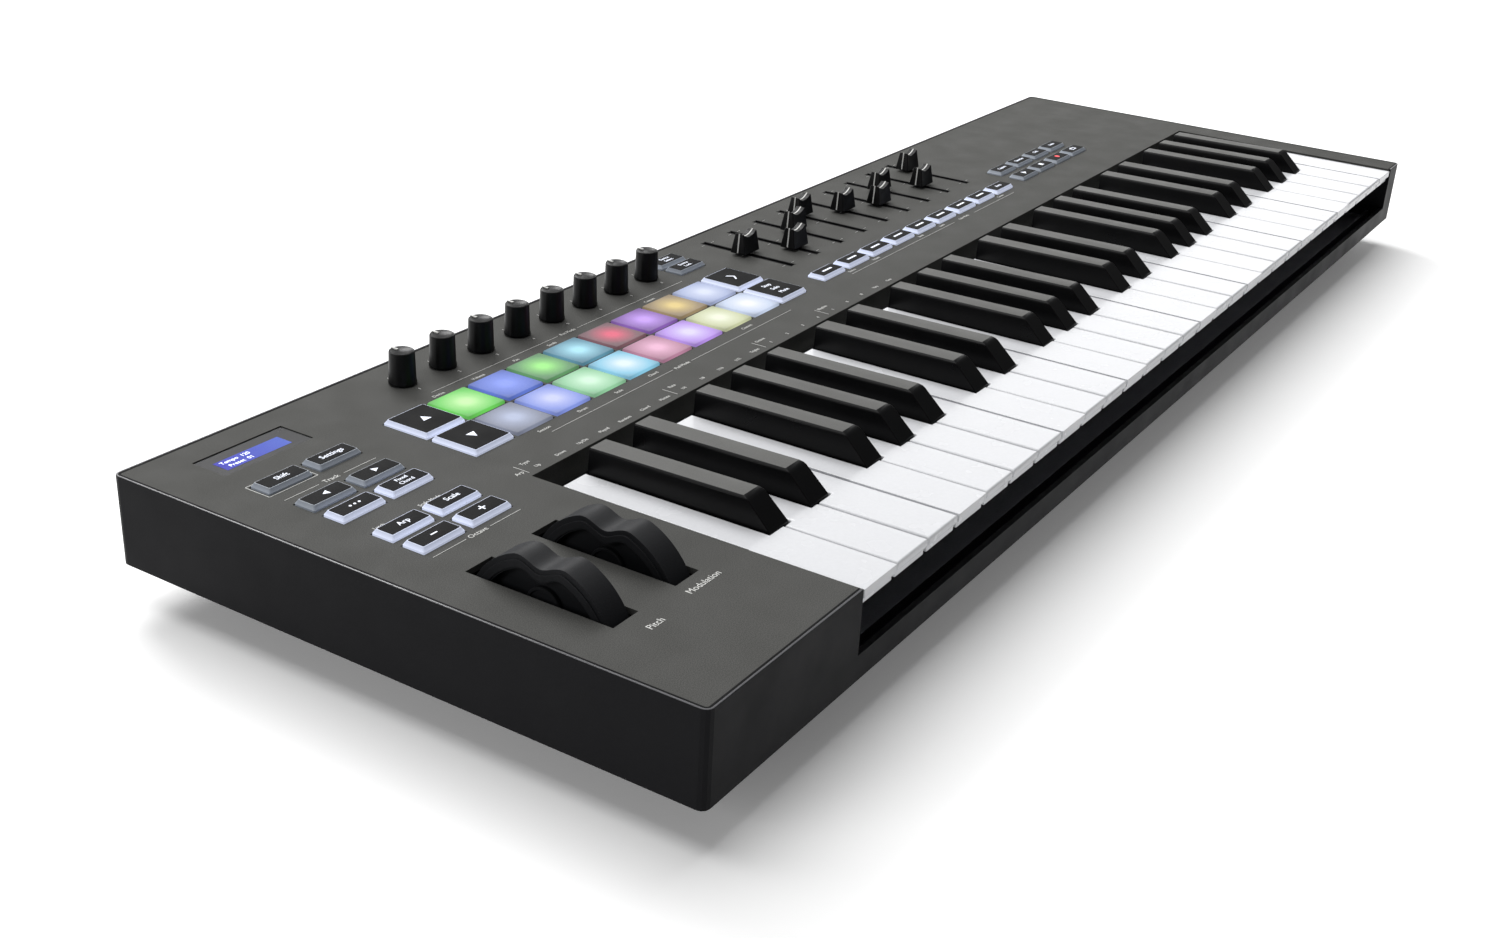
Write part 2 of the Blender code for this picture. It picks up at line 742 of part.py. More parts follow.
def knobs():
    """Tapered caps on their shafts."""
    shaft = KNOB_BOTTOM - SHAFT_BOTTOM
    height = KNOB_TOP - KNOB_BOTTOM
    profile = [(0, height), (KNOB_TOP_RADIUS - KNOB_CHAMFER, height)]
    profile += [(KNOB_TOP_RADIUS, height - KNOB_CHAMFER), (KNOB_RADIUS, 0)]
    profile += [(SHAFT_RADIUS, 0), (SHAFT_RADIUS, -shaft), (0, -shaft)]
    for index, (x, y) in enumerate(knob_places()):
        turned(f"knob_{index + 1}", profile, (x, y, KNOB_BOTTOM), "Z", control_black())


def fader(index):
    """A tapered cap on a flat stem that runs in the panel's slot."""
    x, y = FADER_X + index * FADER_PITCH, FADER_AT[index]
    half_x, half_y = (size / 2 for size in FADER_CAP)
    name = f"fader_{index + 1}"
    low = (x - half_x, y - half_y, FADER_CAP_BOTTOM)
    high = (x + half_x, y + half_y, FADER_CAP_TOP)
    cap = boxes(name, [(low, high)], PARTS, control_black())
    centre, top = point(x, y, 0), point(*high).z
    for vertex in cap.data.vertices:
        if abs(vertex.co.z - top) < MM:
            for side in (0, 1):
                outward = vertex.co[side] - centre[side]
                vertex.co[side] -= math.copysign(FADER_CAP_TAPER * MM, outward)
    stem_x, stem_y = (size / 2 for size in FADER_STEM)
    low = (x - stem_x, y - stem_y, FADER_STEM_BOTTOM)
    high = (x + stem_x, y + stem_y, FADER_CAP_BOTTOM + 1)
    join(cap, boxes(name + "_stem", [(low, high)], CUTTERS))
    set_origin(cap, (x, y, FADER_CAP_BOTTOM))


def rubber_mats():
    """Thin sheets under the panel, with the caps that come up through its holes."""
    neighbours = ("pad_mat", "scroll_button_mat", "scene_button_mat")
    for name, caps in cap_groups().items():
        margin = NEIGHBOUR_MARGIN if name in neighbours else MAT_MARGIN
        x0, x1 = min(cap[0] for cap in caps) - margin, max(cap[2] for cap in caps) + margin
        y0 = min(cap[1] for cap in caps) - MAT_MARGIN
        y1 = max(cap[3] for cap in caps) + MAT_MARGIN
        sheet = ((x0, y0, MAT_BOTTOM), (x1, y1, MAT_BOTTOM + MAT_THICKNESS))
        mat = boxes(name, [sheet], PARTS, silicone())
        top = PAD_TOP if name == "pad_mat" else BUTTON_TOP
        tops = [((a, b, MAT_BOTTOM + CAP_ROOT), (c, d, top)) for a, b, c, d in caps]
        join(mat, boxes(name + "_caps", tops, CUTTERS))
        set_origin(mat, ((x0 + x1) / 2, (y0 + y1) / 2, MAT_BOTTOM))


def shade_round_pieces():
    for obj in bpy.data.collections[PARTS].objects:
        obj.data.shade_smooth()
        obj.data.set_sharp_from_angle(angle=math.radians(35))


def main():
    clear_scene()
    base_case()
    top_panel()
    keybed_chassis()
    keys()
    boards()
    display()
    sockets()
    wheel_bracket()
    wheel_axle()
    wheels()
    knobs()
    for index in range(9):
        fader(index)
    rubber_mats()
    feet()
    shade_round_pieces()


main()
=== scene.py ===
import math

import bmesh
import bpy
from mathutils import Matrix, Vector


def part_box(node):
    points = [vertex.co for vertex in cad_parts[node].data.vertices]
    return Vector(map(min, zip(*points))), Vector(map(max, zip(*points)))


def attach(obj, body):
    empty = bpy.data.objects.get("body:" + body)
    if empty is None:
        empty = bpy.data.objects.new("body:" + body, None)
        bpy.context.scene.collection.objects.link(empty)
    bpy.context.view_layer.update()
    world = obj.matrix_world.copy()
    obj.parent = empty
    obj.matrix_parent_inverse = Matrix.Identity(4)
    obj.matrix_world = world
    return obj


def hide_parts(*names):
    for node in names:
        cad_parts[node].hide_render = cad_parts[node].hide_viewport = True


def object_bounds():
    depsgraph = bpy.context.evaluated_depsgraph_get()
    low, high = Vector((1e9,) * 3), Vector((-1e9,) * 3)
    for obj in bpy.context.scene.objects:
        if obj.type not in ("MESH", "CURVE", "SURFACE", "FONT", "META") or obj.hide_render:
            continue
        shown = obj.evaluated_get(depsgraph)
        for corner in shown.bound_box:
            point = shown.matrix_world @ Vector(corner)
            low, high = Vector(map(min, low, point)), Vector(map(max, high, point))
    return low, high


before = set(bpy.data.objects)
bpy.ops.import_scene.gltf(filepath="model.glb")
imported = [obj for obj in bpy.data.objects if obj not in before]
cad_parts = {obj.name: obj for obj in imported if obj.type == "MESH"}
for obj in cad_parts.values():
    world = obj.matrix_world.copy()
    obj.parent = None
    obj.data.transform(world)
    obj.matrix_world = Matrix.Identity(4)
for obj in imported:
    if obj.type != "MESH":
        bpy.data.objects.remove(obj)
cad_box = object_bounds()

# Places are in millimetres: x from the case's left face, y from its front face, z from the lower
# edge of its side walls. The case's own box turns them into the frame's metres.
MM = 0.001
WALL_HEIGHT = 35.7
CASE_LOW, CASE_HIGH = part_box("base_case")
WIDTH = (CASE_HIGH.x - CASE_LOW.x) / MM
DEPTH = (CASE_HIGH.y - CASE_LOW.y) / MM
ORIGIN = Vector((CASE_LOW.x, CASE_LOW.y, CASE_HIGH.z - WALL_HEIGHT * MM))
CASE_CORNER = 3.0
WELL_LEFT, WELL_RIGHT = 91.8, 775.4

KEY_PITCH = 23.5
OCTAVE = 7 * KEY_PITCH
SEMITONE = OCTAVE / 12
OCTAVES = 4
KEYS_LEFT = 93.3
KEY_GAP, TAIL_GAP, SHARP_GAP = 0.9, 0.4, 0.7
KEY_FRONT, KEY_NOTCH, KEY_BACK = 0.3, 46.0, 126.5
HINGE_FRONT, HINGE_BACK = 186.0, 194.0
WHITE_TOP, WHITE_PLATE, SKIRT_BOTTOM = 34.8, 3.4, 28.4
BLACK_FRONT, BLACK_FOOT, BLACK_TOP = 46.7, 30.0, 45.5
NATURALS = (0, 2, 4, 5, 7, 9, 11)
SHARPS = (1, 3, 6, 8, 10)

COLUMNS = 8
PITCH = 24.35
PAD_SIZE = 22.2
PAD_LEFT = 116.4
PAD_ROWS = (166.3, 190.7)
SMALL_BUTTON = (21.0, 9.8)
CLUSTER_X = (32.8, 57.6)
CLUSTER_Y = (206.2, 184.5, 170.6, 148.0, 134.2)
DEVICE_BUTTONS = ((323.2, 241.5), (323.2, 230.0))
TRANSPORT_X, TRANSPORT_PITCH = 598.2, 24.5
TRANSPORT_Y = (187.3, 172.6)
KNOB_X, KNOB_Y, KNOB_BOTTOM = 127.5, 235.6, 36.2
FADERS = 9
FADER_X, FADER_PITCH = 362.6, 24.75
FADER_SLOT = (191.5, 245.9)
FADER_BUTTON_Y = 172.1
WHEEL_SLOTS = {"pitch_wheel": (21.6, 35.1), "modulation_wheel": (55.8, 69.5)}
WHEEL_Y, WHEEL_Z, WHEEL_RADIUS, WHEEL_BORE = 80.5, 19.8, 30.6, 3.3
SOCKET_Z = 16.0
USB_X, JACK_X, MIDI_X = 640.0, 668.0, 700.0
DISPLAY_LEFT, DISPLAY_FRONT, DISPLAY_RIGHT = 23.6, 225.0, 67.0

CAP_FOOT = 31.0
CAP_RISE = 2.0
PLATE_RISE = 0.12
ICON_Z = WALL_HEIGHT + CAP_RISE + PLATE_RISE
PRINT_Z = WALL_HEIGHT + 0.01
PRINT_HEIGHT = 0.1
WORD_LIFT, WORD_HEIGHT = 0.05, 0.12
CORNER_STEPS = 4


def point(x, y, z):
    return ORIGIN + Vector((x, y, z)) * MM


# Materials


def srgb(*channels):
    """Screen colour, 0 to 255, as the linear colour that a shader takes."""
    scaled = [channel / 255 for channel in channels]
    return [c / 12.92 if c <= 0.04045 else ((c + 0.055) / 1.055) ** 2.4 for c in scaled]


class Nodes:
    """A material's node tree, with short calls for the nodes used here."""

    def __init__(self, name):
        self.material = bpy.data.materials.new(name)
        self.material.use_nodes = True
        self.tree = self.material.node_tree
        self.shader = self.tree.nodes["Principled BSDF"]
        self.place = self.tree.nodes.new("ShaderNodeTexCoord").outputs["Object"]

    def set(self, **values):
        for name, value in values.items():
            self.shader.inputs[name.replace("_", " ")].default_value = value

    def link(self, output, name):
        self.tree.links.new(output, self.shader.inputs[name])

    def noise(self, scale, detail=3.0):
        node = self.tree.nodes.new("ShaderNodeTexNoise")
        node.inputs["Scale"].default_value = scale
        node.inputs["Detail"].default_value = detail
        self.tree.links.new(self.place, node.inputs["Vector"])
        return node.outputs["Fac"]

    def ramp(self, factor, stops):
        """Colours at (place, colour) stops along a factor."""
        node = self.tree.nodes.new("ShaderNodeValToRGB")
        for index, (place, color) in enumerate(stops):
            stop = node.color_ramp.elements[index] if index < 2 else node.color_ramp.elements.new(place)
            stop.position = place
            stop.color = (*color, 1.0)
        self.tree.links.new(factor, node.inputs["Fac"])
        return node.outputs["Color"]

    def span(self, factor, low, high, start=0.3, end=0.7):
        """A factor stretched from start..end to low..high."""
        node = self.tree.nodes.new("ShaderNodeMapRange")
        for name, value in (("From Min", start), ("From Max", end), ("To Min", low), ("To Max", high)):
            node.inputs[name].default_value = value
        self.tree.links.new(factor, node.inputs["Value"])
        return node.outputs["Result"]

    def bump(self, factor, depth):
        node = self.tree.nodes.new("ShaderNodeBump")
        node.inputs["Distance"].default_value = depth * MM
        node.inputs["Strength"].default_value = 1.0
        self.tree.links.new(factor, node.inputs["Height"])
        self.link(node.outputs["Normal"], "Normal")


def shine(level):
    return {"Specular_IOR_Level": level}


def lamp_lit(color, strength):
    return {"Emission_Color": (*srgb(*color), 1.0), "Emission_Strength": strength}


METAL = {"Metallic": 1.0}
FLAT_BLACK = ((16, 16, 17), 0.6, 1500.0, 0.01, 0.12, shine(0.05))

# Screen colour, roughness, the grain's scale, its depth in millimetres, how far the colour swings
# with it, and any other values of the shader.
MOULDED = {
    "panel_grain": ((74, 74, 72), 0.68, 2600.0, 0.05, 0.26, shine(0.08)),
    "case_satin": ((21, 21, 23), 0.45, 1400.0, 0.01, 0.06, shine(0.05)),
    # The rim's lighter grey is a painted highlight on the black case's edge.
    "rim_painted_highlight": ((62, 62, 66), 0.3, 1400.0, 0.004, 0.06, {}),
    # The seam's black is painted shade in the gap between rim and panel.
    "seam_painted_shade": FLAT_BLACK,
    "key_white_gloss": ((206, 207, 210), 0.26, 700.0, 0.004, 0.015,
                        {"Coat_Weight": 0.12, "Coat_Roughness": 0.12, **shine(0.25)}),
    "key_black_satin": ((8, 8, 9), 0.3, 1800.0, 0.006, 0.1, shine(0.13)),
    # Black keys' tops: lighter grey painted as the sheen of the lights overhead; the keys are black all
    # over.
    "key_black_top_painted_sheen": ((86, 86, 84), 0.5, 2200.0, 0.01, 0.08, shine(0.15)),
    "wheel_soft_touch": ((21, 22, 25), 0.6, 2600.0, 0.04, 0.2, shine(0.22)),
    "control_gloss": ((10, 10, 11), 0.36, 1600.0, 0.008, 0.1, shine(0.18)),
    # Black in the fader slots is painted shade down in them.
    "slot_painted_shade": FLAT_BLACK,
    "button_black": FLAT_BLACK,
    "white_print": ((200, 200, 197), 0.6, 2500.0, 0.004, 0.05, {}),
    "lit_icon": ((232, 236, 246), 0.5, 2500.0, 0.004, 0.03, lamp_lit((232, 238, 255), 0.35)),
    "record_red": ((232, 58, 66), 0.5, 2500.0, 0.004, 0.03, lamp_lit((235, 60, 70), 0.4)),
    "display_mask": ((27, 27, 30), 0.3, 800.0, 0.002, 0.04, shine(0.08)),
    "display_frame": ((30, 30, 34), 0.5, 900.0, 0.01, 0.12, {}),
    "display_text": ((214, 220, 255), 0.4, 2500.0, 0.002, 0.03, lamp_lit((220, 226, 255), 0.9)),
    "board_mask": ((26, 92, 52), 0.45, 500.0, 0.02, 0.2, {}),
    "foot_rubber_grain": ((22, 22, 23), 0.85, 1500.0, 0.08, 0.2, {}),
    "socket_insert": ((232, 232, 228), 0.45, 900.0, 0.01, 0.03, {}),
    "chassis_coated": ((92, 92, 96), 0.5, 1200.0, 0.01, 0.08, METAL),
    "axle_steel": ((190, 192, 196), 0.25, 1200.0, 0.01, 0.08, METAL),
    "screw_steel": ((120, 122, 126), 0.3, 1200.0, 0.01, 0.08, METAL),
    "socket_steel": ((176, 178, 182), 0.3, 1200.0, 0.01, 0.08, METAL),
    "contact_brass": ((206, 168, 92), 0.3, 1200.0, 0.01, 0.08, METAL),
}


def moulded(name):
    """A material of the table: its colour varies with its grain, which also stands in the surface."""
    color, roughness, grain, depth, spread, values = MOULDED[name]
    made = Nodes(name)
    fine = made.noise(grain, detail=4.0)
    dark = [channel * (1 - spread) for channel in srgb(*color)]
    light = [min(1.0, channel * (1 + spread)) for channel in srgb(*color)]
    made.link(made.ramp(fine, [(0.35, dark), (0.65, light)]), "Base Color")
    wear = made.noise(60.0)
    made.link(made.span(wear, roughness * 0.9, min(1.0, roughness * 1.1)), "Roughness")
    made.set(**values)
    made.bump(fine, depth)
    return made.material


def silicone_material(name, color, glow):
    """Translucent silicone: brightest low down, where the light below comes through."""
    bright_below, dim_above, top_shade = -0.6 * MM, 2.4 * MM, 0.72
    made = Nodes(name)
    split = made.tree.nodes.new("ShaderNodeSeparateXYZ")
    made.tree.links.new(made.place, split.inputs["Vector"])
    height = made.span(split.outputs["Z"], 0.0, 1.0, bright_below, dim_above)
    low, high = srgb(*color), srgb(*[channel * top_shade for channel in color])
    shade = made.ramp(height, [(0.0, low), (1.0, high)])
    made.link(shade, "Base Color")
    made.link(shade, "Emission Color")
    made.link(made.span(made.noise(900.0), 0.35, 0.5), "Roughness")
    made.set(Emission_Strength=glow, Specular_IOR_Level=0.5)
    made.bump(made.noise(1600.0), 0.01)
    return made.material


def pad_material(name, core, edge):
    """A lit pad: a bright core over its lamp, fading to the edge colour."""
    reach, rim_shade = 15.0 * MM, 0.82
    made = Nodes(name)
    mapping = made.tree.nodes.new("ShaderNodeMapping")
    mapping.inputs["Scale"].default_value = (1 / reach, 1 / reach, 0)
    made.tree.links.new(made.place, mapping.inputs["Vector"])
    gradient = made.tree.nodes.new("ShaderNodeTexGradient")
    gradient.gradient_type = "SPHERICAL"
    made.tree.links.new(mapping.outputs["Vector"], gradient.inputs["Vector"])
    middle = [(a + b) / 2 for a, b in zip(srgb(*core), srgb(*edge))]
    stops = [(0.0, srgb(*[channel * rim_shade for channel in edge])), (1.0, srgb(*core))]
    stops += [(0.28, srgb(*edge)), (0.62, middle), (0.85, srgb(*core))]
    made.link(made.ramp(gradient.outputs["Fac"], stops), "Emission Color")
    base = [(0.3, srgb(38, 38, 40)), (0.7, srgb(46, 46, 48))]
    made.link(made.ramp(made.noise(1500.0), base), "Base Color")
    made.link(made.span(made.noise(800.0), 0.5, 0.62), "Roughness")
    made.set(Emission_Strength=0.95, Specular_IOR_Level=0.2)
    made.bump(made.noise(1800.0), 0.02)
    return made.material


def lcd_material():
    """A lit liquid-crystal face: a fine dot grid over a blue that pales to one end."""
    half_face = 16.0 * MM
    made = Nodes("display_lit")
    split = made.tree.nodes.new("ShaderNodeSeparateXYZ")
    made.tree.links.new(made.place, split.inputs["Vector"])
    along = made.span(split.outputs["X"], 0.0, 1.0, -half_face, half_face)
    blue = made.ramp(along, [(0.0, srgb(66, 66, 204)), (1.0, srgb(92, 118, 222))])
    grid = made.tree.nodes.new("ShaderNodeTexBrick")
    grid.inputs["Scale"].default_value = 1900.0
    grid.inputs["Mortar Size"].default_value = 0.06
    made.tree.links.new(made.place, grid.inputs["Vector"])
    made.link(blue, "Emission Color")
    made.link(made.ramp(along, [(0.0, srgb(20, 20, 70)), (1.0, srgb(26, 34, 84))]), "Base Color")
    made.link(made.span(grid.outputs["Fac"], 0.25, 0.4, 0.0, 1.0), "Roughness")
    made.set(Emission_Strength=0.7, Specular_IOR_Level=0.05)
    return made.material


# Mesh helpers


def new_object(name, bm, materials, place=None, angle=32):
    """A shaded object from a bmesh in the frame's metres, with its origin moved to place."""
    bmesh.ops.recalc_face_normals(bm, faces=bm.faces)
    mesh = bpy.data.meshes.new(name)
    bm.to_mesh(mesh)
    bm.free()
    obj = bpy.data.objects.new(name, mesh)
    if place is not None:
        mesh.transform(Matrix.Translation(-place))
        obj.location = place
    for material in materials:
        mesh.materials.append(material)
    bpy.context.scene.collection.objects.link(obj)
    mesh.shade_smooth()
    mesh.set_sharp_from_angle(angle=math.radians(angle))
    return obj


def bevel(obj, width, segments, angle=30):
    modifier = obj.modifiers.new("edges", "BEVEL")
    modifier.width = width * MM
    modifier.segments = segments
    modifier.limit_method = "ANGLE"
    modifier.angle_limit = math.radians(angle)
    modifier.harden_normals = False
    return obj


def add_box(bm, low, high):
    low, high = point(*low), point(*high)
    matrix = Matrix.Translation((low + high) / 2) @ Matrix.Diagonal((*(high - low), 1.0))
    bmesh.ops.create_cube(bm, size=1.0, matrix=matrix)


def add_loft(bm, rings, material=0):
    """A closed skin with flat ends through rings of places, each ring with as many points."""
    rows = [[bm.verts.new(point(*spot)) for spot in ring] for ring in rings]
    faces = []
    count = len(rings[0])
    for lower, upper in zip(rows[:-1], rows[1:]):
        for index in range(count):
            after = (index + 1) % count
            faces.append(bm.faces.new((lower[index], lower[after], upper[after], upper[index])))
    faces.append(bm.faces.new(rows[0][::-1]))
    faces.append(bm.faces.new(rows[-1]))
    for face in faces:
        face.material_index = material
    return faces


def rounded(x0, y0, x1, y1, radius):
    """A rounded rectangle's outline."""
    centres = ((x1 - radius, y1 - radius), (x0 + radius, y1 - radius))
    centres += ((x0 + radius, y0 + radius), (x1 - radius, y0 + radius))
    outline = []
    for quarter, (x, y) in enumerate(centres):
        for step in range(CORNER_STEPS + 1):
            angle = (quarter + step / CORNER_STEPS) * math.pi / 2
            outline.append((x + radius * math.cos(angle), y + radius * math.sin(angle)))
    return outline


def level(outline, z):
    return [(x, y, z) for x, y in outline]


def turned(name, profile, place, axis, material, steps=48):
    """A profile of (radius, height) points turned about an axis through place."""
    turn = {"Z": Matrix.Identity(3), "X": Matrix.Rotation(math.pi / 2, 3, "Y")}
    turn["Y"] = Matrix.Rotation(-math.pi / 2, 3, "X")
    centre = point(*place)
    bm = bmesh.new()
    rows = []
    for radius, height in profile:
        count = 1 if radius == 0 else steps
        row = []
        for step in range(count):
            angle = 2 * math.pi * step / steps
            spot = Vector((radius * math.cos(angle), radius * math.sin(angle), height)) * MM
            row.append(bm.verts.new(centre + turn[axis] @ spot))
        rows.append(row)
    for lower, upper in zip(rows[:-1], rows[1:]):
        for step in range(steps):
            after = (step + 1) % steps
            corners = [lower[step % len(lower)], lower[after % len(lower)]]
            corners += [upper[after % len(upper)], upper[step % len(upper)]]
            corners = list(dict.fromkeys(corners))
            if len(corners) > 2:
                bm.faces.new(corners)
    return new_object(name, bm, [material], centre)


def text_mesh(bm, words, x, y, z, size):
    """Generic wording as a thin raised print, centred on x and y, added to bm."""
    curve = bpy.data.curves.new("words", "FONT")
    curve.body = words
    curve.size = size * MM
    curve.align_x = "CENTER"
    curve.align_y = "CENTER"
    curve.extrude = WORD_HEIGHT * MM / 2
    curve.resolution_u = 3
    guide = bpy.data.objects.new("words", curve)
    bpy.context.scene.collection.objects.link(guide)
    graph = bpy.context.evaluated_depsgraph_get()
    mesh = bpy.data.meshes.new_from_object(guide.evaluated_get(graph))
    bpy.data.objects.remove(guide, do_unlink=True)
    bpy.data.curves.remove(curve)
    mesh.transform(Matrix.Translation(point(x, y, z + WORD_LIFT)))
    bm.from_mesh(mesh)
    bpy.data.meshes.remove(mesh)


def add_line(bm, x0, y0, x1, y1, z, width):
    """A thin printed line between two places on a level surface."""
    half = width / 2
    if abs(y1 - y0) < abs(x1 - x0):
        low, high = (min(x0, x1), y0 - half, z), (max(x0, x1), y0 + half, z + PRINT_HEIGHT)
    else:
        low, high = (x0 - half, min(y0, y1), z), (x0 + half, max(y0, y1), z + PRINT_HEIGHT)
    add_box(bm, low, high)


def add_polygon(bm, corners, z, height=PRINT_HEIGHT, material=0):
    add_loft(bm, [level(corners, z), level(corners, z + height)], material)


def ride(obj, body):
    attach(obj, body)
    return obj


# Case and panel


def paint(node, material):
    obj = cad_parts[node]
    obj.data.materials.clear()
    obj.data.materials.append(material)
    return obj


def paint_frame():
    """The CAD solids whose shape is right keep it, and get finer materials and edges."""
    bevel(paint("base_case", moulded("case_satin")), 0.45, 2, 40)
    bevel(paint("top_panel", moulded("panel_grain")), 0.3, 2, 50)
    boards = ("key_contact_board", "main_board", "left_control_board", "pad_sensor_board")
    boards += ("knob_board", "fader_board", "transport_board")
    green = moulded("board_mask")
    for node in boards:
        paint(node, green)
    grey = moulded("chassis_coated")
    bevel(paint("keybed_chassis", grey), 0.4, 2)
    bevel(paint("wheel_bracket", grey), 0.3, 2)
    paint("wheel_axle", moulded("axle_steel"))
    bevel(paint("display_window", moulded("display_mask")), 0.2, 2)
    paint("display_module", moulded("display_frame"))
    for node in ("foot_front_left", "foot_front_right", "foot_rear_left", "foot_rear_right"):
        paint(node, moulded("foot_rubber_grain"))


def rim_path(inset):
    """The line around three sides of the panel, from one end of the key well to the other."""
    corners = rounded(inset, inset, WIDTH - inset, DEPTH - inset, CASE_CORNER - inset)
    quarter = len(corners) // 4
    path = corners[3 * quarter:] + corners[:3 * quarter]
    return [(WELL_RIGHT, inset)] + path + [(WELL_LEFT, inset)]


def rim_strip(name, outer, inner, top, material):
    low, high = WALL_HEIGHT - 0.4, WALL_HEIGHT + top
    bm = bmesh.new()
    rings = []
    for (x0, y0), (x1, y1) in zip(rim_path(outer), rim_path(inner)):
        rings.append([(x0, y0, low), (x0, y0, high), (x1, y1, high), (x1, y1, low)])
    add_loft(bm, rings)
    strip = new_object(name, bm, [material])
    bevel(strip, 0.12, 2, 60)
    return ride(strip, "root")


def case_rim():
    """The side walls' rim stands a hair over the panel, lighter grey as a painted highlight, with a black
    strip between them as the seam's painted shade.
    """
    rim_outer, rim_inner, seam_inner = 0.1, 0.85, 1.9
    rim_strip("case_rim", rim_outer, rim_inner, 0.18, moulded("rim_painted_highlight"))
    rim_strip("panel_seam_painted_shade", rim_inner, seam_inner, 0.05, moulded("seam_painted_shade"))


def belly_screws():
    """Round-headed screws with a hollow in the middle, in two rows along the belly."""
    steel = moulded("screw_steel")
    z = (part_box("foot_front_left")[1].z - ORIGIN.z) / MM
    side, front = 90, 60
    profile = [(0, -0.2), (0.9, -0.2), (1.1, -0.75), (2.9, -0.75), (3.2, -0.3), (3.2, 0.6), (0, 0.6)]
    for column in range(4):
        for row in range(2):
            x, y = side + column * (WIDTH - 2 * side) / 3, front + row * (DEPTH - 2 * front)
            screw = turned(f"belly_screw_{column}_{row}", profile, (x, y, z), "Z", steel, 24)
            ride(screw, "root")


# Keys


def tails():
    """Left and right edge of each of an octave's twelve key tails."""
    lower, upper = 3 * KEY_PITCH / 5, 4 * KEY_PITCH / 7
    edges = [index * lower for index in range(5)]
    edges += [3 * KEY_PITCH + index * upper for index in range(8)]
    return list(zip(edges[:-1], edges[1:]))


def white_key(name, start, index, body, material, alone=False):
    """A waterfall key: a rounded top plate over a narrower skirt, cut back beside the sharps."""
    left = start + index * KEY_PITCH
    right = left + KEY_PITCH - KEY_GAP
    tail_left, tail_right = (start + edge for edge in tails()[NATURALS[index]])
    tail_left = max(tail_left + TAIL_GAP, left)
    tail_right = right if alone else min(tail_right - TAIL_GAP, right)
    outline = [(left, KEY_FRONT), (right, KEY_FRONT), (right, KEY_NOTCH)]
    if tail_right < right:
        outline.append((tail_right, KEY_NOTCH))
    outline += [(tail_right, KEY_BACK), (tail_left, KEY_BACK)]
    if tail_left > left:
        outline.append((tail_left, KEY_NOTCH))
    outline.append((left, KEY_NOTCH))
    bm = bmesh.new()
    add_polygon(bm, outline, WHITE_TOP - WHITE_PLATE, WHITE_PLATE)
    plate = new_object(name, bm, [material])
    bevel(plate, 0.95, 4)
    ride(plate, body)
    skirt_top, head_inset, tail_inset = WHITE_TOP - WHITE_PLATE + 0.1, 0.7, 0.6
    bm = bmesh.new()
    add_box(bm, (left + head_inset, KEY_FRONT + 1.3, SKIRT_BOTTOM),
            (right - head_inset, KEY_NOTCH - 1, skirt_top))
    add_box(bm, (tail_left + tail_inset, KEY_NOTCH - 2, SKIRT_BOTTOM),
            (tail_right - tail_inset, KEY_BACK - 0.5, skirt_top))
    skirt = new_object(name + "_skirt", bm, [material])
    bevel(skirt, 0.35, 2)
    ride(skirt, body)
    return plate


def black_key(name, left, right, body, materials):
    """A black key: sloped nose, sides that lean in, and a flat chamfer round its arched top, whose face is
    lighter grey as a painted sheen.
    """
    middle, half = (left + right) / 2, (right - left) / 2
    slope, arch = 11.6, 0.9
    # How far each ring stands in from the sides and from the front, its height, and how far it
    # falls to the back.
    sections = ((0, 0, BLACK_FOOT, 0), (0, 0, WHITE_TOP, 0), (0.6, 9.6, BLACK_TOP - 1.5, arch),
                (0.75, slope - 0.9, BLACK_TOP - 0.75, arch), (1.55, slope + 0.9, BLACK_TOP, arch))
    rings = []
    for inset, back, z, drop in sections:
        x0, x1, y = middle - half + inset, middle + half - inset, BLACK_FRONT + back
        rings.append([(x0, y, z), (x1, y, z), (x1, KEY_BACK, z - drop), (x0, KEY_BACK, z - drop)])
    bm = bmesh.new()
    faces = add_loft(bm, rings)
    # The top face takes the lighter grey: a painted sheen.
    faces[-1].material_index = 1
    key = new_object(name, bm, materials, angle=24)
    bevel(key, 0.22, 2, 18)
    return ride(key, body)


def comb_rail(body, material):
    """The strip at a comb's hinge, as wide and as low as the comb."""
    low, high = ((corner - ORIGIN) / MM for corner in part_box(body))
    bm = bmesh.new()
    add_box(bm, (low.x, HINGE_FRONT, low.z), (high.x, HINGE_BACK, low.z + 2.9))
    strip = new_object(body + "_rail", bm, [material])
    bevel(strip, 0.3, 2)
    ride(strip, body)


def keys():
    white = moulded("key_white_gloss")
    # Black sides, and tops in a painted sheen.
    black = [moulded("key_black_satin"), moulded("key_black_top_painted_sheen")]
    for octave in range(OCTAVES):
        start = KEYS_LEFT + octave * OCTAVE
        for index in range(7):
            body = f"white_keys_{'ab'[index % 2]}_octave_{octave + 1}"
            key = white_key(f"white_key_{octave * 7 + index + 1}", start, index, body, white)
            if index < 2:
                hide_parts(body)
                comb_rail(body, white)
        body = f"black_keys_octave_{octave + 1}"
        for count, index in enumerate(SHARPS):
            left, right = (start + edge for edge in tails()[index])
            name = f"black_key_{octave * 5 + count + 1}"
            key = black_key(name, left + SHARP_GAP, right - SHARP_GAP, body, black)
            if count == 0:
                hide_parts(body)
                comb_rail(body, black[0])
    start = KEYS_LEFT + OCTAVES * OCTAVE
    key = white_key("white_key_29", start, 0, "white_key_top", white, alone=True)
    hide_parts("white_key_top")
    comb_rail("white_key_top", white)


# Wheels


def wheel_radius(angle):
    """The wheel's outer radius at an angle from the back: a thumb groove between two humps."""
    groove_depth, groove_reach = 4.4, math.radians(21)
    away = abs(angle - math.pi / 2) / groove_reach
    dip = groove_depth * (0.5 + 0.5 * math.cos(math.pi * away)) if away < 1 else 0.0
    return WHEEL_RADIUS - dip


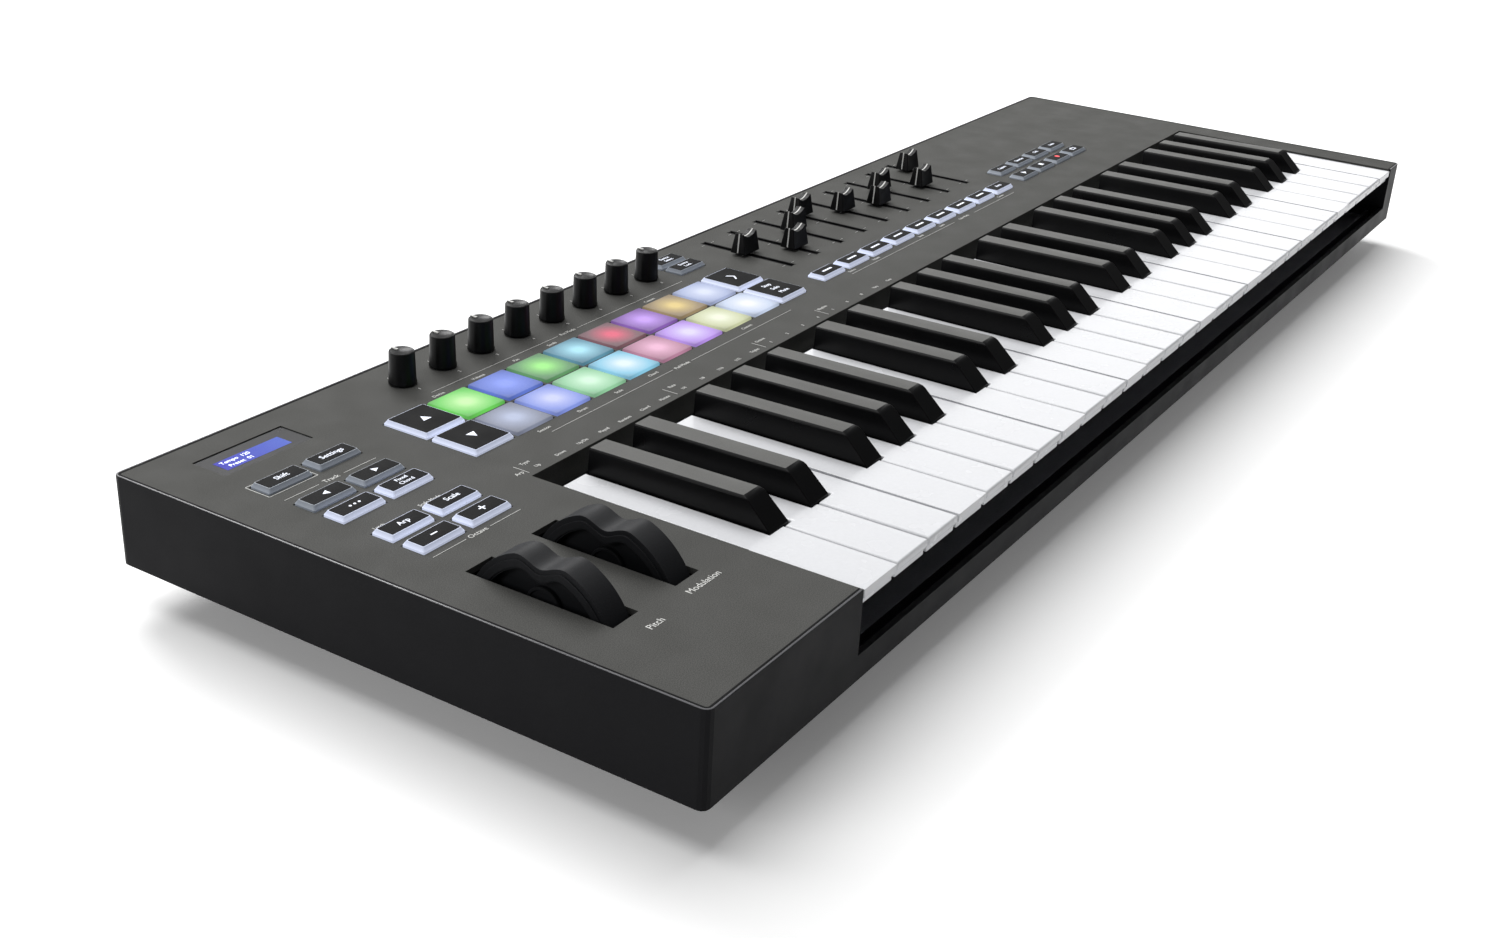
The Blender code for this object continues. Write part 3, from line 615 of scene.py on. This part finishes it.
def wheel_section(bm, x0, x1, drop, inner):
    """A band of the wheel between x0 and x1, from a drop below its rim to an inner radius."""
    steps = 72
    rings = []
    for step in range(steps + 1):
        angle = math.pi * step / steps
        outside, inside = wheel_radius(angle) - drop, inner(angle)
        ring = []
        for x, radius in ((x0, outside), (x1, outside), (x1, inside), (x0, inside)):
            ring.append((x, WHEEL_Y + radius * math.cos(angle), WHEEL_Z + radius * math.sin(angle)))
        rings.append(ring)
    add_loft(bm, rings)


def both_sides(half, x0, x1):
    """A profile with the same (radius, depth) points in from its two sides."""
    profile = [(radius, x0 + depth) for radius, depth in half]
    return profile + [(radius, x1 - depth) for radius, depth in reversed(half)]


def wheel(name, span):
    """A half-disc wheel: thick rim with a raised edge line, recessed web, hub and boss."""
    side_gap, crown_inset, web_inset, boss_rise = 0.7, 0.5, 3.6, 12.0
    x0, x1 = span[0] + side_gap, span[1] - side_gap
    bm = bmesh.new()
    wheel_section(bm, x0 + crown_inset, x1 - crown_inset, 0.0, lambda angle: wheel_radius(angle) - 5.2)
    wheel_section(bm, x0, x1, 1.9, lambda angle: wheel_radius(angle) - 4.6)
    wheel_section(bm, x0 + web_inset, x1 - web_inset, 4.0, lambda angle: WHEEL_BORE)
    centre = point((x0 + x1) / 2, WHEEL_Y, WHEEL_Z)
    tyre = new_object(name + "_tyre", bm, [moulded("wheel_soft_touch")], centre, 40)
    bevel(tyre, 0.45, 3, 45)
    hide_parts(name)
    ride(tyre, name)
    profile = both_sides([(WHEEL_BORE, 0.3), (8.2, 0.3), (9.4, 1.3), (9.6, 3.0)], x0, x1)
    hub = turned(name + "_hub", profile, (0, WHEEL_Y, WHEEL_Z), "X", moulded("wheel_soft_touch"))
    ride(hub, name)
    profile = both_sides([(0, 2.2), (5.6, 2.2), (5.9, 1.6), (6.6, 1.6), (6.9, 2.0)], x0, x1)
    place = (0, WHEEL_Y, WHEEL_Z + boss_rise)
    boss = turned(name + "_boss", profile, place, "X", moulded("wheel_soft_touch"))
    ride(boss, name)


# Knobs and faders


def knob(index):
    """A tapered knob with a flared skirt edge and a pointer let into its rim."""
    x, y = KNOB_X + index * PITCH, KNOB_Y
    body = f"knob_{index + 1}"
    profile = [(0, 13.5), (3.6, 13.55), (4.3, 13.9), (4.8, 14.0), (5.15, 13.8), (5.3, 13.3), (5.62, 1.6)]
    profile += [(5.85, 0.9), (5.9, 0.35), (5.7, 0.0), (3.0, 0.0), (3.0, -6.0), (0, -6.0)]
    cap = turned(body + "_cap", profile, (x, y, KNOB_BOTTOM), "Z", moulded("control_gloss"), 64)
    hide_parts(body)
    ride(cap, body)
    half, top = 0.5, KNOB_BOTTOM + 14.1
    bm = bmesh.new()
    add_box(bm, (x - half, y + 2.0, KNOB_BOTTOM + 13.4), (x + half, y + 5.1, top))
    add_box(bm, (x - half, y + 4.9, KNOB_BOTTOM + 10.6), (x + half, y + 5.5, top))
    pointer = new_object(body + "_pointer", bm, [moulded("white_print")])
    bevel(pointer, 0.15, 2)
    ride(pointer, body)


FADER_BOTTOM, FADER_RISE, FADER_SADDLE = 37.0, 10.4, 2.3
FADER_HALF_WIDTH, FADER_LEAN = 7.0, 0.9
FADER_STEPS_ACROSS, FADER_STEPS_UP = 12, 8
FADER_LINE = 0.68


def fader_half_depth(u, v):
    """Half the cap's depth at u across (-1 to 1) and v up (0 to 1): scooped front and back."""
    return 4.35 - 1.8 * v - 0.45 * (1 - u * u) * math.sin(math.pi * v)


def fader_top(u):
    """The saddle's height at u across."""
    return FADER_BOTTOM + FADER_RISE - FADER_SADDLE * (1 - u * u)


def across():
    return [-1 + 2 * step / FADER_STEPS_ACROSS for step in range(FADER_STEPS_ACROSS + 1)]


def fader_cap(body, x, y):
    bm = bmesh.new()
    rings = []
    for u in across():
        ring = []
        for side in (-1, 1):
            for rung in range(FADER_STEPS_UP + 1):
                v = rung / FADER_STEPS_UP if side == -1 else 1 - rung / FADER_STEPS_UP
                z = FADER_BOTTOM + (fader_top(u) - FADER_BOTTOM) * v
                lean = FADER_LEAN * v * u
                ring.append((x + FADER_HALF_WIDTH * u - lean, y + side * fader_half_depth(u, v), z))
        rings.append(ring)
    add_loft(bm, rings)
    cap = new_object(body + "_cap", bm, [moulded("control_gloss")], angle=40)
    bevel(cap, 0.35, 3, 45)
    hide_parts(body)
    ride(cap, body)


def fader_line(body, x, y):
    """The white line over the saddle and down both ends of the cap."""
    front, back = y - FADER_LINE / 2, y + FADER_LINE / 2
    sunk, proud, end_proud, end_depth = 0.35, 0.07, 0.06, 0.3
    bm = bmesh.new()
    rows = []
    for u in across():
        spot_x = x + FADER_HALF_WIDTH * u - FADER_LEAN * u
        low, high = fader_top(u) - sunk, fader_top(u) + proud
        rows.append([(spot_x, front, low), (spot_x, back, low), (spot_x, back, high), (spot_x, front, high)])
    add_loft(bm, rows)
    for side in (-1, 1):
        foot = x + side * (FADER_HALF_WIDTH + end_proud)
        crown = x + side * (FADER_HALF_WIDTH - FADER_LEAN + end_proud)
        inside = -side * end_depth
        ends = []
        for spot_x, z in ((foot, FADER_BOTTOM + 0.6), (crown, FADER_BOTTOM + FADER_RISE)):
            ends.append([(spot_x, front, z), (spot_x, back, z),
                         (spot_x + inside, back, z), (spot_x + inside, front, z)])
        add_loft(bm, ends)
    line = new_object(body + "_line", bm, [moulded("white_print")])
    ride(line, body)


def fader_stem(body, x, y):
    half_width, half_depth, bottom = 1.2, 2.5, 25.4
    bm = bmesh.new()
    add_box(bm, (x - half_width, y - half_depth, bottom), (x + half_width, y + half_depth, FADER_BOTTOM + 1))
    stem = new_object(body + "_stem", bm, [moulded("control_gloss")])
    bevel(stem, 0.15, 2)
    ride(stem, body)


def fader(index):
    """A cap with a saddle top, scooped front and back, and a white line over its middle."""
    body = f"fader_{index + 1}"
    low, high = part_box(body)
    middle = (low + high) / 2
    x, y = (middle.x - ORIGIN.x) / MM, (middle.y - ORIGIN.y) / MM
    fader_cap(body, x, y)
    fader_line(body, x, y)
    fader_stem(body, x, y)


def slot_liners():
    """Black liners along the fader slots, as painted shade down in them."""
    bm = bmesh.new()
    y0, y1 = FADER_SLOT
    for index in range(FADERS):
        x = FADER_X + index * FADER_PITCH
        for side in (-1, 1):
            near, far = sorted((x + side * 1.35, x + side * 2.3))
            add_box(bm, (near, y0 - 0.3, 33.0), (far, y1 + 0.3, WALL_HEIGHT + 0.04))
    liners = new_object("slot_liners", bm, [moulded("slot_painted_shade")])
    ride(liners, "root")


# Pads and buttons

# Each pad's colour over its lamp and at its edge, left to right.
PAD_GLOW = {
    "front": (((186, 196, 224), (134, 140, 160)), ((206, 212, 255), (136, 154, 232)),
              ((216, 254, 224), (150, 210, 164)), ((230, 247, 255), (140, 206, 234)),
              ((244, 188, 218), (188, 134, 160)), ((228, 219, 255), (188, 150, 238)),
              ((246, 251, 226), (206, 212, 170)), ((247, 250, 255), (203, 216, 240))),
    "rear": (((204, 255, 176), (110, 214, 92)), ((138, 160, 254), (98, 122, 212)),
             ((162, 246, 136), (98, 154, 102)), ((174, 236, 254), (96, 150, 172)),
             ((232, 96, 124), (128, 92, 100)), ((204, 160, 254), (138, 96, 180)),
             ((234, 208, 132), (158, 138, 104)), ((222, 230, 252), (174, 186, 222))),
}


def pads():
    radius, shoulder, rise, taper = 0.9, 0.3, 1.1, 0.25
    for row, y in zip(("front", "rear"), PAD_ROWS):
        for column in range(COLUMNS):
            x = PAD_LEFT + column * PITCH
            right, back = x + PAD_SIZE, y + PAD_SIZE
            lower = rounded(x, y, right, back, radius)
            upper = rounded(x + taper, y + taper, right - taper, back - taper, radius)
            bm = bmesh.new()
            add_loft(bm, [level(lower, CAP_FOOT), level(lower, WALL_HEIGHT + shoulder),
                          level(upper, WALL_HEIGHT + rise)])
            centre = point(x + PAD_SIZE / 2, y + PAD_SIZE / 2, WALL_HEIGHT)
            name = f"pad_{row}_{column + 1}"
            pad = new_object(name, bm, [pad_material(name + "_glow", *PAD_GLOW[row][column])], centre)
            bevel(pad, 0.3, 3)
            ride(pad, "pad_mat")
            if row == "front" and column == 0:
                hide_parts("pad_mat")


def button(name, rect, body, skin, inlay):
    """A silicone key cap with chamfered translucent edges and a black top plate."""
    x0, y0, x1, y1 = rect
    radius, plate_radius, lean, shoulder, plate_depth = 0.7, 0.4, 0.95, 0.5, 0.2
    inset = lean + 0.35
    bm = bmesh.new()
    foot = rounded(x0, y0, x1, y1, radius)
    crown = rounded(x0 + lean, y0 + lean, x1 - lean, y1 - lean, radius)
    top = WALL_HEIGHT + CAP_RISE
    add_loft(bm, [level(foot, CAP_FOOT), level(foot, WALL_HEIGHT + shoulder), level(crown, top)])
    plate = rounded(x0 + inset, y0 + inset, x1 - inset, y1 - inset, plate_radius)
    add_loft(bm, [level(plate, top - plate_depth), level(plate, top + PLATE_RISE)], 1)
    centre = point((x0 + x1) / 2, (y0 + y1) / 2, WALL_HEIGHT)
    return ride(new_object(name, bm, [skin, inlay], centre, 25), body)


def around(x, y):
    """The rectangle of a small button centred on x and y."""
    half_width, half_depth = SMALL_BUTTON[0] / 2, SMALL_BUTTON[1] / 2
    return (x - half_width, y - half_depth, x + half_width, y + half_depth)


def triangle(x, y, half, turn):
    """Corners of a solid triangle pointing at turn quarter turns from +x."""
    spots = [(half, 0), (-half * 0.75, half), (-half * 0.75, -half)]
    cos, sin = round(math.cos(turn * math.pi / 2)), round(math.sin(turn * math.pi / 2))
    return [(x + a * cos - b * sin, y + a * sin + b * cos) for a, b in spots]


def disc(x, y, radius, steps=24):
    turns = [2 * math.pi * step / steps for step in range(steps)]
    return [(x + radius * math.cos(turn), y + radius * math.sin(turn)) for turn in turns]


def outline_box(bm, x0, y0, x1, y1, z, width=0.35):
    add_line(bm, x0, y0, x1, y0, z, width)
    add_line(bm, x0, y1, x1, y1, z, width)
    add_line(bm, x0, y0, x0, y1, z, width)
    add_line(bm, x1, y0, x1, y1, z, width)


def add_dots(bm, x, y, z):
    for offset in (-2.2, 0, 2.2):
        add_polygon(bm, disc(x + offset, y, 0.55, 12), z)


def add_sign(bm, word, x, y, z):
    """A minus sign or a plus sign."""
    reach, width = 1.6, 0.6
    add_line(bm, x - reach, y, x + reach, y, z, width)
    if word == "+":
        add_line(bm, x, y - reach, x, y + reach, z, width)


def add_chevron(bm, x, y, z):
    for side in (-1, 1):
        corners = [(x - 1.6, y + side * 3.0), (x - 0.6, y + side * 3.0), (x + 1.9, y), (x + 0.9, y)]
        add_polygon(bm, corners, z)


def add_square(bm, x, y, z):
    half = 1.5
    add_box(bm, (x - half, y - half, z), (x + half, y + half, z + PRINT_HEIGHT))


def add_loop(bm, x, y, z):
    """A rectangle with an arrowhead on its upper side."""
    outline_box(bm, x - 2.6, y - 1.1, x + 2.6, y + 1.1, z, 0.5)
    add_polygon(bm, triangle(x + 0.4, y + 1.2, 1.0, 0), z)


def finish_icons(bm, body, materials):
    name = body.replace("_mat", "_icons")
    ride(new_object(name, bm, materials), body)


def left_buttons(skins, inlay, icons):
    labels = (("Shift", "Settings"), ("left", "right"), ("...", "Fixed"), ("Arp", "Scale"), ("-", "+"))
    lit = (False, False, True, True, True)
    body = "left_button_mat"
    bm = bmesh.new()
    z = ICON_Z
    for row, y in enumerate(CLUSTER_Y):
        for column, x in enumerate(CLUSTER_X):
            name = f"left_button_{row + 1}_{column + 1}"
            cap = button(name, around(x, y), body, skins[lit[row]], inlay)
            if row == column == 0:
                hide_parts(body)
            word = labels[row][column]
            if word in ("left", "right"):
                add_polygon(bm, triangle(x, y, 1.5, 0 if word == "right" else 2), z)
            elif word == "...":
                add_dots(bm, x, y, z)
            elif word in ("-", "+"):
                add_sign(bm, word, x, y, z)
            elif word == "Fixed":
                text_mesh(bm, "Fixed", x, y + 1.4, z, 2.7)
                text_mesh(bm, "Chord", x, y - 1.5, z, 2.7)
            else:
                text_mesh(bm, word, x, y, z, 3.6)
    finish_icons(bm, body, [icons])


def big_buttons(skins, inlay, icons):
    """The two scroll buttons left of the pads and the two scene buttons right of them."""
    before, after = PAD_LEFT - PITCH, PAD_LEFT + COLUMNS * PITCH
    half = PAD_SIZE / 2
    z = ICON_Z
    body = "scroll_button_mat"
    bm = bmesh.new()
    for row, y in enumerate(PAD_ROWS):
        rect = (before, y, before + PAD_SIZE, y + PAD_SIZE)
        cap = button(f"scroll_button_{row + 1}", rect, body, skins[True], inlay)
        add_polygon(bm, triangle(before + half, y + half, 2.2, 3 if row == 0 else 1), z)
        if row == 0:
            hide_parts(body)
    finish_icons(bm, body, [icons])
    body = "scene_button_mat"
    bm = bmesh.new()
    for row, y in enumerate(PAD_ROWS):
        rect = (after, y, after + PAD_SIZE, y + PAD_SIZE)
        cap = button(f"scene_button_{row + 1}", rect, body, skins[True], inlay)
        if row == 0:
            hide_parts(body)
    add_chevron(bm, after + half, PAD_ROWS[1] + half, z)
    for offset, word in ((5.0, "Stop"), (0.0, "Solo"), (-5.0, "Mute")):
        text_mesh(bm, word, after + half, PAD_ROWS[0] + half + offset, z, 3.4)
    finish_icons(bm, body, [icons])


def device_buttons(skins, inlay, icons):
    labels = (("Device", "Select"), ("Device", "Lock"))
    body = "device_button_mat"
    bm = bmesh.new()
    for index, ((x, y), words) in enumerate(zip(DEVICE_BUTTONS, labels)):
        cap = button(f"device_button_{index + 1}", around(x, y), body, skins[False], inlay)
        for line, word in enumerate(words):
            text_mesh(bm, word, x, y + 1.4 - 2.9 * line, ICON_Z, 2.6)
        if index == 0:
            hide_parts(body)
    finish_icons(bm, body, [icons])


def fader_buttons(skins, inlay, icons):
    body = "fader_button_mat"
    bm = bmesh.new()
    for index in range(FADERS):
        x, y = FADER_X + index * FADER_PITCH, FADER_BUTTON_Y
        cap = button(f"fader_button_{index + 1}", around(x, y), body, skins[True], inlay)
        if index == 0:
            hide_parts(body)
        if index < FADERS - 1:
            add_line(bm, x - 4.2, y, x + 4.2, y, ICON_Z, 1.1)
        else:
            text_mesh(bm, "Arm", x, y, ICON_Z, 3.4)
    finish_icons(bm, body, [icons])


def transport_buttons(skins, inlay, icons):
    body = "transport_button_mat"
    bm = bmesh.new()
    z = ICON_Z
    words = ("Capture", "Quantise", "Click", "Undo")
    for row, y in enumerate(TRANSPORT_Y):
        for column in range(4):
            x = TRANSPORT_X + column * TRANSPORT_PITCH
            name = f"transport_button_{row + 1}_{column + 1}"
            cap = button(name, around(x, y), body, skins[False], inlay)
            if row == column == 0:
                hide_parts(body)
            if row == 0:
                text_mesh(bm, words[column], x, y, z, 2.9)
            elif column == 0:
                add_polygon(bm, triangle(x, y, 1.9, 0), z)
            elif column == 1:
                add_square(bm, x, y, z)
            elif column == 2:
                add_polygon(bm, disc(x, y, 1.6), z, material=1)
            else:
                add_loop(bm, x, y, z)
    finish_icons(bm, body, [icons, moulded("record_red")])


def buttons():
    plain = silicone_material("silicone_unlit", (168, 176, 188), 0.1)
    lit = silicone_material("silicone_lit", (222, 230, 255), 0.55)
    skins = {False: plain, True: lit}
    inlay, icons = moulded("button_black"), moulded("lit_icon")
    left_buttons(skins, inlay, icons)
    big_buttons(skins, inlay, icons)
    device_buttons(skins, inlay, icons)
    fader_buttons(skins, inlay, icons)
    transport_buttons(skins, inlay, icons)


# Printing on the panel


ARP_WORDS = ("Up", "Down", "Up/Dn", "Played", "Random", "Chord", "Mutate")
ARP_WORDS += ("1/4", "1/8", "1/16", "1/32", "Triplet")
ARP_WORDS += ("1", "2", "3", "4", "I", "II", "III", "Vary", "Gate")
ARP_HEADINGS = ((0, "Type"), (7, "Rate"), (12, "Octave"), (16, "Rhythm"))
HAIRLINE, THIN_LINE = 0.18, 0.2


def key_words(bm, z):
    """Small words in front of the pads, one over each key, with ticked headings between groups."""
    words_y, headings_y = 143.6, 148.6
    text_mesh(bm, "Arp", KEYS_LEFT - 3.0, words_y + 0.6, z, 2.7)
    for index, word in enumerate(ARP_WORDS):
        text_mesh(bm, word, KEYS_LEFT + (index + 0.5) * SEMITONE, words_y, z, 2.3)
    for index, word in ARP_HEADINGS:
        x = KEYS_LEFT + index * SEMITONE
        add_line(bm, x, words_y - 1.6, x, headings_y + 1.0, z, THIN_LINE)
        text_mesh(bm, word, x + 5.4, headings_y, z, 2.4)


def pad_words(bm, z):
    """Words in front of the pads and behind them, and the knobs' numbers and ticks."""
    middle = [PAD_LEFT + PAD_SIZE / 2 + column * PITCH for column in range(COLUMNS)]
    rows = ((162.2, 158.4, ("Session", "Drum", "Scale", "Chord"), "Pad Mode"),
            (216.3, 220.1, ("Device", "Volume", "Pan", "Sends"), "Pot Mode"))
    for y, line_y, words, heading in rows:
        for x, word in zip(middle, words):
            text_mesh(bm, word, x, y, z, 2.4)
        text_mesh(bm, "Custom", middle[6], y, z, 2.4)
        text_mesh(bm, heading, middle[3] + 16.0, line_y, z, 2.6)
        add_line(bm, middle[0], line_y, middle[3] + 9.0, line_y, z, HAIRLINE)
        add_line(bm, middle[3] + 23.0, line_y, middle[7] + 8.0, line_y, z, HAIRLINE)
    for column in range(COLUMNS):
        x = KNOB_X + column * PITCH
        text_mesh(bm, str(column + 1), x, KNOB_Y - 9.2, z, 2.2)
        add_line(bm, x, KNOB_Y + 7.4, x, KNOB_Y + 8.6, z, HAIRLINE)


def fader_words(bm, z):
    """Words in front of the fader buttons, and ticks beside the slots."""
    y = FADER_BUTTON_Y - 7.5
    line_y = y - 2.6
    for index, word in ((0, "Device"), (1, "Volume"), (3, "Sends"), (4, "Sends"), (7, "Custom")):
        text_mesh(bm, word, FADER_X + (index + 0.5) * FADER_PITCH, y, z, 2.2)
    text_mesh(bm, "Fader Mode", FADER_X + 5.4 * FADER_PITCH, y - 2.2, z, 2.3)
    add_line(bm, FADER_X + 8, line_y, FADER_X + 4.9 * FADER_PITCH, line_y, z, HAIRLINE)
    add_line(bm, FADER_X + 5.9 * FADER_PITCH, line_y, FADER_X + 8 * FADER_PITCH, line_y, z, HAIRLINE)
    tick_start, tick_end, tick_width = 2.9, 5.4, 0.12
    for index in range(FADERS):
        x = FADER_X + index * FADER_PITCH
        for tick_y in (FADER_SLOT[0] + 3, sum(FADER_SLOT) / 2, FADER_SLOT[1] - 3):
            for side in (-1, 1):
                add_line(bm, x + side * tick_start, tick_y, x + side * tick_end, tick_y, z, tick_width)


def cluster_words(bm, z):
    """Headings between the left cluster's buttons, and the line round its first button."""
    for y, word in ((125.4, "Octave"), (194.2, "Track")):
        text_mesh(bm, word, sum(CLUSTER_X) / 2, y, z, 3.2)
        add_line(bm, 22.5, y, 39.0, y, z, THIN_LINE)
        add_line(bm, 51.6, y, 68.0, y, z, THIN_LINE)
    x0, y0, x1, y1 = around(CLUSTER_X[0], CLUSTER_Y[0])
    margin = 1.2
    outline_box(bm, x0 - margin, y0 - margin, x1 + margin, y1 + margin, z, 0.25)
    text_mesh(bm, "Latch", 28.0, 154.8, z, 2.4)
    text_mesh(bm, "Scale Mode", 53.5, 154.8, z, 2.4)


def panel_print():
    """Thin light lines and generic function words on the panel."""
    bm = bmesh.new()
    text_mesh(bm, "Pitch", 32, 41.5, PRINT_Z, 4.0)
    text_mesh(bm, "Modulation", 63.5, 44.5, PRINT_Z, 4.0)
    for words in (cluster_words, pad_words, key_words, fader_words):
        words(bm, PRINT_Z)
    ride(new_object("panel_print", bm, [moulded("white_print")]), "root")


def display():
    """The lit face in the window, with two rows of small letters."""
    top = WALL_HEIGHT - 0.4
    low = (DISPLAY_LEFT + 4.5, DISPLAY_FRONT + 3.6, top - 0.1)
    high = (DISPLAY_RIGHT - 7.5, DISPLAY_FRONT + 11.6, top + 0.06)
    bm = bmesh.new()
    add_box(bm, low, high)
    centre = point((low[0] + high[0]) / 2, (low[1] + high[1]) / 2, top)
    face = new_object("display_lit_face", bm, [lcd_material()], centre)
    ride(face, "root")
    bm = bmesh.new()
    for line, words in enumerate(("Tempo  120", "Preset  01")):
        text_mesh(bm, words, DISPLAY_LEFT + 13, DISPLAY_FRONT + 9.2 - 3.5 * line, top + 0.05, 2.8)
    text = new_object("display_words", bm, [moulded("display_text")])
    ride(text, "root")


# Sockets on the back


def usb_tongue():
    half_width, half_height = 2.8, 1.6
    bm = bmesh.new()
    add_box(bm, (USB_X - half_width, DEPTH - 9.2, SOCKET_Z - half_height),
            (USB_X + half_width, DEPTH - 1.2, SOCKET_Z + half_height))
    tongue = new_object("usb_tongue", bm, [moulded("socket_insert")])
    bevel(tongue, 0.3, 2)
    ride(tongue, "root")


def midi_contacts():
    """Five pins on the lower half of a circle."""
    circle, spacing = 4.9, 45
    brass = moulded("contact_brass")
    profile = [(0, 4.6), (0.45, 4.4), (0.7, 3.9), (0.7, 0), (0, 0)]
    for index in range(5):
        angle = math.radians(-90 + (index - 2) * spacing)
        x, z = MIDI_X + circle * math.cos(angle), SOCKET_Z - circle * math.sin(angle)
        pin = turned(f"midi_contact_{index + 1}", profile, (x, DEPTH - 8.4, z), "Y", brass, 16)
        ride(pin, "root")


def sockets():
    steel = moulded("socket_steel")
    bevel(paint("usb_socket", steel), 0.3, 2)
    black = moulded("control_gloss")
    for node in ("midi_socket", "pedal_socket"):
        paint(node, black)
    usb_tongue()
    midi_contacts()
    profile = [(3.3, 0.9), (3.6, 1.1), (5.2, 1.1), (5.5, 0.8), (5.5, -0.4), (3.3, -0.4), (3.3, 0.9)]
    ring = turned("pedal_socket_ring", profile, (JACK_X, DEPTH - 0.3, SOCKET_Z), "Y", steel, 40)
    ride(ring, "root")


# Camera, floor and light


def stage():
    """A white floor just under the feet."""
    white = (1, 1, 1, 1)
    paper = Nodes("floor_paper")
    shades = [(0.3, srgb(252, 252, 252)), (0.7, srgb(255, 255, 255))]
    paper.link(paper.ramp(paper.noise(3.0), shades), "Base Color")
    paper.set(Roughness=0.9, Specular_IOR_Level=0.1, Emission_Color=white, Emission_Strength=0.13)
    bpy.ops.mesh.primitive_plane_add(size=14, location=(0, 0, cad_box[0].z - 0.0002))
    floor = bpy.context.object
    floor.name = "studio_floor"
    floor.data.materials.append(paper.material)


def area_light(name, place, target, size, power):
    data = bpy.data.lights.new(name, "AREA")
    data.shape = "RECTANGLE"
    data.size, data.size_y = size
    data.energy = power
    lamp = bpy.data.objects.new(name, data)
    bpy.context.scene.collection.objects.link(lamp)
    lamp.location = place
    lamp.rotation_euler = (Vector(target) - Vector(place)).to_track_quat("-Z", "Y").to_euler()


def lights():
    """A wide softbox overhead, two behind, a fill at the left, and a dim surround."""
    world = bpy.data.worlds.new("studio")
    bpy.context.scene.world = world
    world.use_nodes = True
    background = world.node_tree.nodes["Background"]
    background.inputs["Color"].default_value = (1, 1, 1, 1)
    background.inputs["Strength"].default_value = 0.12
    area_light("overhead_softbox", place=(0.1, 0.7, 2.2), target=(0, 0.05, 0), size=(3.0, 2.2), power=62)
    area_light("rear_key", place=(0.7, 1.7, 1.5), target=(0, 0, 0), size=(1.2, 0.7), power=34)
    area_light("back_softbox", place=(2.6, 1.05, 1.0), target=(0.1, 0, 0.05), size=(1.7, 1.4), power=14)
    area_light("left_fill", place=(-2.4, 0.9, 0.9), target=(-0.4, 0, 0.03), size=(1.0, 1.0), power=15)


def camera():
    """The main view: from the front left and above, at a steep angle along the keys."""
    data = bpy.data.cameras.new("camera")
    data.sensor_width = 36.0
    data.lens = 42.10
    data.clip_start = 0.01
    obj = bpy.data.objects.new("camera", data)
    bpy.context.scene.collection.objects.link(obj)
    place = point(-362.63, -228.81, 315.19)
    right = Vector((0.53698, -0.84215, 0.04942))
    up = Vector((0.33453, 0.26635, 0.90396))
    rotation = Matrix((right, up, right.cross(up))).transposed().to_4x4()
    obj.matrix_world = Matrix.Translation(place) @ rotation
    bpy.context.scene.camera = obj
    bpy.context.scene.view_settings.view_transform = "Standard"


camera()
paint_frame()
case_rim()
belly_screws()
keys()
for wheel_name, wheel_span in WHEEL_SLOTS.items():
    wheel(wheel_name, wheel_span)
for knob_index in range(COLUMNS):
    knob(knob_index)
for fader_index in range(FADERS):
    fader(fader_index)
slot_liners()
pads()
buttons()
panel_print()
display()
sockets()
stage()
lights()
